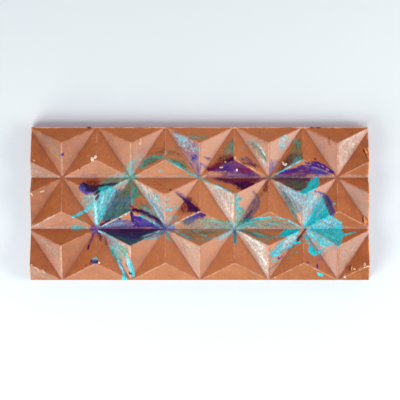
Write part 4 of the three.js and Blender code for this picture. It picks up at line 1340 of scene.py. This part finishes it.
stroke("aqua", [(35, 13.4), (37, 14.4), (41, 16.6), (45.6, 19)], 0.6, 0.75, feather=0.3)
stroke("ice", [(39, 15.7), (43, 17.8), (46.4, 19.4)], 0.5, 0.6, feather=0.3)
dot("maroon", (52.4, 20), 1.3, 0.9)
tell()

# %% [markdown]
# ## Last touches
# Dots, dust on the ridges and a few thin streaks go over everything else, because they dried or fell last.

# %% Stray dots
dot("indigo", (-62.4, 22), 1.4, 1)
dot("indigo", (48.9, -26.9), 0.9, 0.9)
stroke("indigo", [(53.4, -28), (53.2, -28.9)], 1.2, 0.85)
stroke("cyan", [(53.6, -31.8), (55.6, -32.8)], 1.1, 1, streaks=0.1)
patch("lavender", [(53, -25), (56, -25), (56, -26.4), (53, -26.2)], 0.35, feather=1)
stroke("mauve", [(53, -25.8), (55.4, -24.6), (58, -21.8), (61.6, -20)], (0.6, 0.5, 0.4, 0.4), 0.6,
       streaks=0.5)
stroke("maroon", [(58.7, 30), (58.8, 26.4)], 0.6, 0.6, streaks=0.2, ragged=0.1)
for path in [[(-51, 34.6), (-49.9, 34.6)], [(53.4, 34.7), (54.6, 34.7)], [(50.8, 34.6), (51.8, 34.7)]]:
    stroke("maroon", path, 0.7, 0.9, ragged=0.15)
tell()

# %% Dusty ridges, and painted sheen on one lit facet
RIGHT_FRONT_RIDGE = [(65.6, -32.8), (70, -31), (73.4, -29.6), (77, -28.4)]
stroke("haze", RIGHT_FRONT_RIDGE, 0.45, 0.4, streaks=0.9, ragged=0.5)
stroke("cream", RIGHT_FRONT_RIDGE, 0.3, 0.35, feather=0.3, streaks=1, ragged=0.5)
LEFT_FRONT_RIDGE = [(-76.6, -27.8), (-72.6, -30.4), (-70.6, -31.4)]
stroke("cream", LEFT_FRONT_RIDGE, 0.35, 0.35, feather=0.3, streaks=1, ragged=0.5)
stroke("haze", [(-75, -10.3), (-70, -7.6), (-66, -5.8)], 0.5, 0.6, feather=0.3, streaks=0.7)
dot("charcoal", (-73, -9.2), 0.8, 0.7)
dot("green", (-64.2, -2.8), 1, 0.8)
# Whitish specks and streaks on the lit right-front facet at the back right are a painted sheen of the side
# light.
speckle("cream", [(61, 30), (78, 36), (70, 22), (63, 12)], 0.17, size=1, share=0.5, on=[(0, 9, "right")])
for path in [[(63.9, 15), (63.8, 25)], [(66, 28.2), (75.4, 33.4)], [(65, 18), (70, 27)]]:
    stroke("cream", path, 1, 0.25, feather=0.8, streaks=0.9, ragged=0.6, on=[(0, 9, "right")])
tell()

# %% Last streaks over the smears
ROUND_RIDGE_OF_8 = [(0, 8, "base"), (0, 8, "right")]
patch("violet", [(50, 16.6), (53, 17.6), (57, 16.2), (60.4, 14), (56, 13.6), (50, 14.6)], 0.7, streaks=0.7,
      run=-22, on=ROUND_RIDGE_OF_8)
patch("iris", [(51, 15.6), (55, 15.8), (60, 13.8), (56, 13.2)], 0.45, streaks=0.9, run=-22,
      on=ROUND_RIDGE_OF_8)
for path in [[(50, 15), (54, 14.6), (57.4, 13.4)], [(50.6, 16.8), (55.6, 16), (59.6, 14)],
             [(44, 14.6), (50, 14.2)]]:
    stroke("violet", path, 0.6, 0.8, streaks=0.4, on=ROUND_RIDGE_OF_8)
for path in [[(51, 16.2), (55.4, 15.2), (58.4, 14)], [(52.4, 17.7), (55.4, 17), (58.6, 15.2)]]:
    stroke("caramel", path, 0.3, 0.5, feather=0.3, streaks=0.8, on=ROUND_RIDGE_OF_8)
patch("haze", [(38, -16), (43.6, -14), (43, -17.6), (37, -21.4)], 0.4, streaks=0.95, run=38, on=OVER_RIDGE)
for path in [[(42.6, -15.4), (37.4, -19.6)], [(39.6, -16.4), (34.6, -21.4)], [(43, -18.4), (38.6, -21)]]:
    stroke("bare", path, 0.5, 0.7, streaks=0.7, ragged=0.6, on=OVER_RIDGE)
RAG_LINES = [[(48.6, -13.6), (50.4, -16), (51, -18.4)], [(50.6, -15.2), (53.4, -18.4), (54.6, -20.8)],
             [(52.8, -14.6), (57, -18.2), (59, -19)]]
RAG_LINES += [[(49.4, -19), (52, -20.6), (53.6, -22)], [(55, -13.8), (60, -17.6)],
              [(51, -12.6), (54, -14.4), (57, -16.8)]]
for path in RAG_LINES:
    stroke("bare", path, 0.45, 0.75, streaks=0.7, ragged=0.5)
for path in [[(56, -8), (59.4, -11.2)], [(57.6, -7.6), (61, -10.6)], [(58.8, -7.4), (62.2, -10.2)],
             [(53, -9.6), (54.6, -11.2)]]:
    stroke("steel", path, 0.35, 0.8, feather=0.3, streaks=0.4, on=OVER_VALLEY)
tell()

# %% [markdown]
# ## Ridges and valleys
# The rounded ridges catch the light, so a painted highlight makes them a little paler than the facets, in
# broken lines.
# The valleys get a painted shade that darkens them.
# The lattice's own planes tell where those lines run, so a second attribute marks them.

# %% Mark ridges for a painted highlight, and valleys for a painted shade
RIDGE_REACH = 0.35  # mm to each side
VALLEY_REACH = 0.35
RIDGE_SLOPE = 1.05  # how fast two planes part, away from their ridge
FACET_SLOPE = 0.6
RIDGE_END = 2  # mm from a valley, over which the mark of a ridge fades out
TO_PEAK = 1.5  # at a peak each plane stands at two thirds of its unit

facet_heights = np.sort(TO_PEAK * (PYRAMID_RISE / MM) * np.array(plane_heights), axis=0)
to_ridge = (facet_heights[1] - facet_heights[0]) / RIDGE_SLOPE
to_valley = facet_heights[0] / FACET_SLOPE
ridge_end = np.clip(to_valley / RIDGE_END, 0, 1)
ridge = np.where(on_top, np.clip(1 - to_ridge / RIDGE_REACH, 0, 1) * ridge_end, 0)
valley = np.where(on_top, np.clip(1 - to_valley / VALLEY_REACH, 0, 1), 0)
print("ridge vertices", int((ridge > 0).sum()), "valley vertices", int((valley > 0).sum()))

# %% Store paint and edges on the mesh
empty = np.zeros(len(cover))
paint_layer = bar.data.attributes.new("cocoa_butter", "FLOAT_COLOR", "POINT")
paint_layer.data.foreach_set("color", np.column_stack((pigment * cover[:, None], cover)).ravel())
edge_layer = bar.data.attributes.new("edges", "FLOAT_COLOR", "POINT")
edge_layer.data.foreach_set("color", np.column_stack((ridge, valley, empty, empty + 1)).ravel())
print("stored for each vertex:", [layer.name for layer in (paint_layer, edge_layer)])

# %% [markdown]
# ## Milk chocolate
# Moulded milk chocolate is warm brown with a satin gloss, because its surface is crystallised cocoa butter.
# Its surface is uneven: a haze of fine bloom, thin parallel wiping lines, and small pale specks.
# The colours lie in the same surface, so one material mixes them in by their cover, and roughens there.

# %% Node helper
def add_node(tree, kind, inputs=(), output=0, **settings):
    """Adds a node, fills its inputs with values or with outputs of other nodes, and returns one output."""
    node = tree.nodes.new("ShaderNode" + kind)
    for name, value in settings.items():
        setattr(node, name, value)
    for socket, value in dict(inputs).items():
        if isinstance(value, bpy.types.NodeSocket):
            tree.links.new(value, node.inputs[socket])
        else:
            node.inputs[socket].default_value = value
    return node.outputs[output]


# %% Start the material
chocolate = bpy.data.materials.new("milk_chocolate")
chocolate.use_nodes = True
tree = chocolate.node_tree
shader = tree.nodes["Principled BSDF"]
shader.inputs["IOR"].default_value = 1.6
shader.inputs["Specular IOR Level"].default_value = 0.7
position = add_node(tree, "TexCoord", output="Object")


def pattern(size, seen, becomes=(0, 1), detail=3, stretch=(1, 1, 1), shift=0):
    """Noise with features of a size in mm. The part of its range that is seen becomes another range."""
    scales = [1 / MM / size / times for times in stretch]
    placed = add_node(tree, "VectorMath", {0: position, 1: scales, 2: [shift] * 3}, operation="MULTIPLY_ADD")
    noise = add_node(tree, "TexNoise", {"Vector": placed, "Scale": 1, "Detail": detail})
    return add_node(tree, "MapRange", {0: noise, 1: seen[0], 2: seen[1], 3: becomes[0], 4: becomes[1]})


def lay_tone(surface, share, strength, tone):
    """Lays a tone over a surface where the share is high. A mix takes its colours at inputs 6 and 7."""
    amount = add_node(tree, "Math", {0: share, 1: strength}, operation="MULTIPLY")
    return add_node(tree, "Mix", {0: amount, 6: surface, 7: colour(tone)}, output=2, data_type="RGBA")


print("the material starts with", len(tree.nodes), "nodes")

# %% Chocolate tones
PALER_REACH = 75 * MM  # the bar is paler towards its middle, out to here

tone = pattern(4, (0.35, 0.65), detail=5)
browns = {0: tone, 6: colour("9e4813"), 7: colour("b65b1f")}
surface = add_node(tree, "Mix", browns, output=2, data_type="RGBA")
mottle = pattern(0.75, (0.3, 0.7), shift=7)
surface = lay_tone(surface, mottle, 0.72, "833e17")
from_middle = add_node(tree, "VectorMath", {0: position, 3: 1 / PALER_REACH}, operation="SCALE")
paler = add_node(tree, "TexGradient", {0: from_middle}, output=1, gradient_type="SPHERICAL")
surface = lay_tone(surface, paler, 0.42, "dc9062")
print("nodes in the plain chocolate", len(tree.nodes))

# %% Haze, specks, and painted highlights on ridges and shade in valleys
wiping = pattern(0.5, (0.52, 0.75), stretch=(1, 9, 1), shift=3)
wiped = pattern(9, (0.4, 0.7), detail=2, shift=11)
haze = add_node(tree, "Math", {0: wiping, 1: wiped}, operation="MULTIPLY")
surface = lay_tone(surface, haze, 0.2, "dcae90")
specks = pattern(0.55, (0.68, 0.76), detail=1, shift=5)
surface = lay_tone(surface, specks, 0.3, "dcae90")
edges = add_node(tree, "Attribute", output="Color", attribute_name="edges")
on_ridge = add_node(tree, "SeparateColor", {0: edges}, output="Red")
in_valley = on_ridge.node.outputs["Green"]
# Painted highlight along the ridges, broken into lines by noise.
ridge_highlight_strength = pattern(1.9, (0.42, 0.62), becomes=(0.1, 0.7), shift=9)
surface = lay_tone(surface, on_ridge, ridge_highlight_strength, "e0a070")
# Painted shade in the valleys.
surface = lay_tone(surface, in_valley, 0.25, "6a3012")
print("nodes with haze and edges", len(tree.nodes))

# %% Cocoa butter over the chocolate
THINNEST = 0.001  # keeps the colour from being divided by nothing
BREAK_UP = 3  # how strongly the grain breaks up a thin film

butter = add_node(tree, "Attribute", output="Color", attribute_name="cocoa_butter")
film = butter.node.outputs["Alpha"]
divisor = add_node(tree, "Math", {0: film, 1: THINNEST}, operation="MAXIMUM")
straight = add_node(tree, "VectorMath", {0: butter, 1: divisor}, operation="DIVIDE")
grain = pattern(0.7, (0.25, 0.75), becomes=(-0.3, 0.3), shift=13)
thinness = add_node(tree, "Math", {0: 1.2, 1: film}, operation="SUBTRACT")
half_laid = add_node(tree, "Math", {0: film, 1: thinness}, operation="MULTIPLY")
grainy = add_node(tree, "Math", {0: grain, 1: half_laid}, operation="MULTIPLY")
broken = add_node(tree, "Math", {0: grainy, 1: BREAK_UP, 2: film}, operation="MULTIPLY_ADD")
covered = add_node(tree, "MapRange", {"Value": broken, "From Min": 0.06, "From Max": 0.78})
depth = pattern(0.6, (0.3, 0.7), becomes=(0.65, 1.35), stretch=(1, 2.5, 1), shift=17)
uneven = add_node(tree, "VectorMath", {0: straight, 3: depth}, operation="SCALE")
surface = add_node(tree, "Mix", {0: covered, 6: surface, 7: uneven}, output=2, data_type="RGBA")
tree.links.new(surface, shader.inputs["Base Color"])
print("nodes with the cocoa butter", len(tree.nodes))

# %% Gloss
SMOOTHEST, DULLEST = 0.37, 0.43  # roughness of the bare chocolate
BUTTER_DULLS = 0.08
WHITE = (1, 1, 1, 1)
GREY = (0.3, 0.3, 0.3, 1)
TINTED = 0.6  # share of the paint's own colour in the tint of its shine, over grey

satin = add_node(tree, "MapRange", {"Value": tone, "To Min": SMOOTHEST, "To Max": DULLEST})
gloss = add_node(tree, "Math", {0: covered, 1: BUTTER_DULLS, 2: satin}, operation="MULTIPLY_ADD")
tree.links.new(gloss, shader.inputs["Roughness"])
dulled = add_node(tree, "Mix", {0: TINTED, 6: GREY, 7: uneven}, output=2, data_type="RGBA")
shine = add_node(tree, "Mix", {0: covered, 6: WHITE, 7: dulled}, output=2, data_type="RGBA")
tree.links.new(shine, shader.inputs["Specular Tint"])
print("nodes in the chocolate", len(tree.nodes))

# %% Give the material to the bar
bar.data.materials.append(chocolate)
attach(bar, "root")
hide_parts("chocolate_bar")
print("material on the bar:", bar.data.materials[0].name)

# %% [markdown]
# ## Crumbs, shavings and grains
# Knocking the bar out of its mould leaves crumbs of cocoa butter, shavings from the rim, and dark grains.
# They could be painted on as well, but real ones stand proud and throw small shadows.
# Each is a ball that is cut flat by a few planes, stretched, and laid on the surface between two points.

# %% Height of the bar under a point
bar_x, bar_y, bar_z = places_of(bar)


def surface_point(x, y):
    """The point of the bar's surface at a place in millimetres."""
    buried = bar_z < FOOT
    nearest = np.argmin((bar_x - x * MM) ** 2 + (bar_y - y * MM) ** 2 + buried)
    return Vector((x * MM, y * MM, float(bar_z[nearest])))


print("height at the middle", round(surface_point(0, 0).z / MM, 2), "mm")

# %% One broken crumb
BROKEN_SIDES = 8
SUNK = 0.2  # share of a crumb's thickness that sits in the surface
CUT_AWAY = 1.3  # makes up for what the cuts take off
NEAREST_CUT, FURTHEST_CUT = 0.28, 0.42  # how far from the middle a ball one unit across is cut
FIRST_SEED = 100


def lay_crumb(start, end, width, thickness, seed):
    """A crumb that lies on the bar from one point to another, with its sizes in millimetres."""
    first, last = surface_point(*start), surface_point(*end)
    along = last - first
    deselect_everything()
    bpy.ops.mesh.primitive_ico_sphere_add(subdivisions=2, radius=0.5, location=(0, 0, 0))
    crumb = bpy.context.object
    edit_mode()
    rolls = np.random.default_rng(seed)
    for side in range(BROKEN_SIDES):
        normal = Vector(rolls.normal(size=3)).normalized()
        bpy.ops.mesh.select_all(action="SELECT")
        point = normal * rolls.uniform(NEAREST_CUT, FURTHEST_CUT)
        bpy.ops.mesh.bisect(plane_co=point, plane_no=normal, clear_outer=True, use_fill=True)
    bpy.ops.mesh.select_all(action="SELECT")
    bpy.ops.mesh.quads_convert_to_tris()
    size = (CUT_AWAY * along.length, CUT_AWAY * width * MM, CUT_AWAY * thickness * MM)
    bpy.ops.transform.resize(value=size, center_override=(0, 0, 0))
    object_mode()
    crumb.rotation_euler = along.to_track_quat("X", "Z").to_euler()
    crumb.location = (first + last) / 2 + Vector((0, 0, (0.5 - SUNK) * thickness * MM))
    bpy.ops.object.transform_apply(location=True, rotation=True, scale=True)
    return crumb


def gather(name, places, finish):
    """Lays a list of crumbs, joins them into one piece, and makes it ride with the bar."""
    crumbs = [lay_crumb(*place, seed=FIRST_SEED + number) for number, place in enumerate(places)]
    deselect_everything()
    for crumb in crumbs:
        crumb.select_set(True)
    bpy.context.view_layer.objects.active = crumbs[0]
    bpy.ops.object.join()
    piece = bpy.context.object
    piece.name = name
    piece.data.name = name
    piece.data.materials.append(finish)
    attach(piece, "root")
    print(name, len(places), "bits,", len(piece.data.polygons), "faces")


# %% Crumb finish
FLECK = 0.35 * MM  # size of the spots in a crumb's colour


def crumbly(name, pale, deep, roughness):
    """A dull finish that is mottled between two colours, every third of a millimetre."""
    finish = bpy.data.materials.new(name)
    finish.use_nodes = True
    nodes = finish.node_tree
    dull = nodes.nodes["Principled BSDF"]
    dull.inputs["Roughness"].default_value = roughness
    dull.inputs["IOR"].default_value = 1.45
    place = add_node(nodes, "TexCoord", output="Object")
    scaled = add_node(nodes, "VectorMath", {0: place, 3: 1 / FLECK}, operation="SCALE")
    grains = add_node(nodes, "TexNoise", {"Vector": scaled, "Scale": 1, "Detail": 2})
    share = add_node(nodes, "MapRange", {"Value": grains, "From Min": 0.35, "From Max": 0.65})
    spots = {0: share, 6: colour(deep), 7: colour(pale)}
    tones = add_node(nodes, "Mix", spots, output=2, data_type="RGBA")
    nodes.links.new(tones, dull.inputs["Base Color"])
    return finish


# %% [markdown]
# ## Laying the crumbs
# White crumbs are flecks of the coloured cocoa butter's white base, which stays nearly white and chalky.
# Shavings are milk chocolate that was scraped thin, so air makes them paler than the bar.
# Dark grains are bits of burnt cocoa, and they look almost black; the ones beside the shavings are painted
# shadows.

# %% White crumbs
gather(
    "white_crumbs",
    [
        ((-48.8, 19), (-48.3, 21), 1.4, 1),
        ((-47.9, 20), (-47, 21.4), 1.2, 0.9),
        ((-49.1, 19.1), (-48, 19.6), 0.9, 0.6),
        ((16.7, 15.6), (16.9, 14.5), 0.8, 0.6),
        ((37.7, 18.9), (38.7, 17.2), 0.8, 0.6),
        ((38.7, 17.1), (39.5, 18.1), 0.8, 0.6),
        ((-45.8, -27.1), (-45.1, -26.7), 1, 0.6),
        ((65.7, -34), (66, -33), 1, 0.7),
    ],
    crumbly("white_cocoa_butter", "efe2d2", "cba682", 0.7),
)

# %% Cream crumbs
gather(
    "cream_crumbs",
    [
        ((-27, 29.1), (-27, 26.3), 0.9, 0.8),
        ((15.5, 20.5), (16.4, 20.7), 1.3, 0.8),
        ((9.1, 16.2), (10.6, 16.4), 0.8, 0.5),
        ((11.3, 18.8), (11.9, 18.4), 0.7, 0.4),
        ((74.5, -28.5), (74.9, -27), 1, 0.7),
        ((69.7, -30.1), (70.4, -29.6), 1.1, 0.7),
        ((33.7, -33.8), (34.4, -33.5), 0.8, 0.5),
        ((-76.3, -27.8), (-75.7, -28.1), 0.6, 0.4),
        ((-74.5, -29), (-73.8, -29.3), 0.6, 0.4),
        ((-73.2, -30.2), (-72.5, -30.7), 0.8, 0.5),
        ((-71.3, -30.2), (-70.8, -30.5), 0.5, 0.3),
        ((60.3, 12.9), (61, 12.6), 0.6, 0.4),
        ((-72.5, 5.1), (-70.8, 5.7), 0.8, 0.6),
        ((-76.4, 4.6), (-75.6, 3.2), 0.7, 0.6),
        ((-76.9, 19.6), (-75, 19.3), 0.9, 0.8),
    ],
    crumbly("crumbled_cocoa_butter", "dfbf9e", "b98257", 0.7),
)

# %% Shavings
gather(
    "chocolate_shavings",
    [
        ((75, 25.2), (76.1, 22), 0.9, 0.7),
        ((76, 22.2), (76.6, 20.2), 0.7, 0.6),
        ((74.8, -6.5), (75.7, -9.5), 1.6, 1),
        ((69, -28.3), (68.9, -30.6), 0.9, 0.8),
        ((-23.7, 34.6), (-22.3, 34.6), 0.8, 0.5),
        ((74.2, -27.2), (74.5, -28.6), 0.7, 0.5),
        ((72, -30.4), (73.6, -29.6), 0.5, 0.4),
    ],
    crumbly("scraped_milk_chocolate", "ee9f66", "b5632c", 0.6),
)

# %% Dark grains, and painted shadows beside the shavings
gather(
    "dark_grains_and_painted_shadows",
    [
        ((-51.2, 34.55), (-49.8, 34.55), 0.7, 0.5),
        ((53.4, 34.6), (54.5, 34.6), 0.6, 0.4),
        ((-54.8, 15.9), (-54.2, 15.6), 0.6, 0.4),
        ((-32.3, -31.4), (-31, -32.3), 0.8, 0.6),
        # These four dark bits are painted shadows beside the shavings.
        ((68.3, -28.6), (68.3, -30.8), 0.8, 0.4),
        ((74.4, 24.7), (75.5, 22), 0.6, 0.3),
        ((75.5, 22.2), (76.3, 20.2), 0.6, 0.3),
        ((74.3, -6), (74.4, -8.6), 0.8, 0.4),
        ((16.6, 14.4), (17.1, 14.2), 0.6, 0.3),
    ],
    crumbly("burnt_cocoa_and_painted_shadow", "6a2e12", "2c0f08", 0.8),
)

# %% [markdown]
# ## Table and lights
# The bar lies on plain white paper under two low soft lights and one in front.
# White paper is brightened with a dye that glows faintly blue, which shows most in the shadow.
# The paper has a painted faint blue glow, which stands in for cool light and shows most in the shadow.
# The room is a soft glow that is warmer behind the bar and cooler overhead.

# %% Floor
FLOOR_SIDE = 6  # m, so that its edges stay out of sight
PAPER_WHITE = (0.75, 0.74, 0.73, 1)
PAPER_GLOW = (0, 0.045, 0.075, 1)  # a painted faint blue glow, which stands in for cool light in the shadow

deselect_everything()
bpy.ops.mesh.primitive_plane_add(size=FLOOR_SIDE, location=(0, 0, 0))
floor = bpy.context.object
floor.name = "floor"
paper = bpy.data.materials.new("white_paper")
paper.use_nodes = True
paper_shader = paper.node_tree.nodes["Principled BSDF"]
paper_shader.inputs["Base Color"].default_value = PAPER_WHITE
# The paper's painted blue glow.
paper_shader.inputs["Emission Color"].default_value = PAPER_GLOW
paper_shader.inputs["Emission Strength"].default_value = 1
paper_shader.inputs["Roughness"].default_value = 0.9
floor.data.materials.append(paper)
print("the floor is", FLOOR_SIDE, "m wide")


# %% Softboxes
def softbox(name, azimuth, elevation, distance, size, radiance):
    """A square light that faces the bar. Its power follows from how bright its face is."""
    data = bpy.data.lights.new(name, "AREA")
    data.shape = "SQUARE"
    data.size = size
    data.energy = radiance * math.pi * size**2
    lamp = bpy.data.objects.new(name, data)
    bpy.context.scene.collection.objects.link(lamp)
    turn = math.radians(azimuth)
    rise = math.radians(elevation)
    level = math.cos(rise)
    lamp.location = distance * Vector((math.cos(turn) * level, math.sin(turn) * level, math.sin(rise)))
    lamp.rotation_euler = (-lamp.location).to_track_quat("-Z", "Y").to_euler()
    print(name, "shines with", round(data.energy, 2), "W")


softbox("key_light", azimuth=230, elevation=26, distance=0.5, size=0.32, radiance=7.33)
softbox("side_light", azimuth=-14, elevation=26, distance=0.5, size=0.29, radiance=6.49)
softbox("front_light", azimuth=270, elevation=60, distance=1.6, size=0.4, radiance=13.8)

# %% Room glow
FRONT_GLOW = (0.16, 0.49, 0.27, 1)
BACK_GLOW = (1.13, 0.71, 0.35, 1)
OVERHEAD_GLOW = (0.01, 0.14, 0.46, 1)

world = bpy.data.worlds.new("studio")
bpy.context.scene.world = world
world.use_nodes = True
room = world.node_tree
direction = add_node(room, "TexCoord", output="Generated")
backward = add_node(room, "SeparateXYZ", {0: direction}, output="Y")
upward = backward.node.outputs["Z"]
behind = add_node(room, "MapRange", {"Value": backward, "From Min": -0.15, "From Max": 0.15})
overhead = add_node(room, "MapRange", {"Value": upward, "From Min": 0.6, "From Max": 0.8})
sides = add_node(room, "Mix", {0: behind, 6: FRONT_GLOW, 7: BACK_GLOW}, output=2, data_type="RGBA")
glow = add_node(room, "Mix", {0: overhead, 6: sides, 7: OVERHEAD_GLOW}, output=2, data_type="RGBA")
room.links.new(glow, room.nodes["Background"].inputs["Color"])
bpy.context.scene.view_settings.view_transform = "Standard"
print("nodes in the room", len(room.nodes))
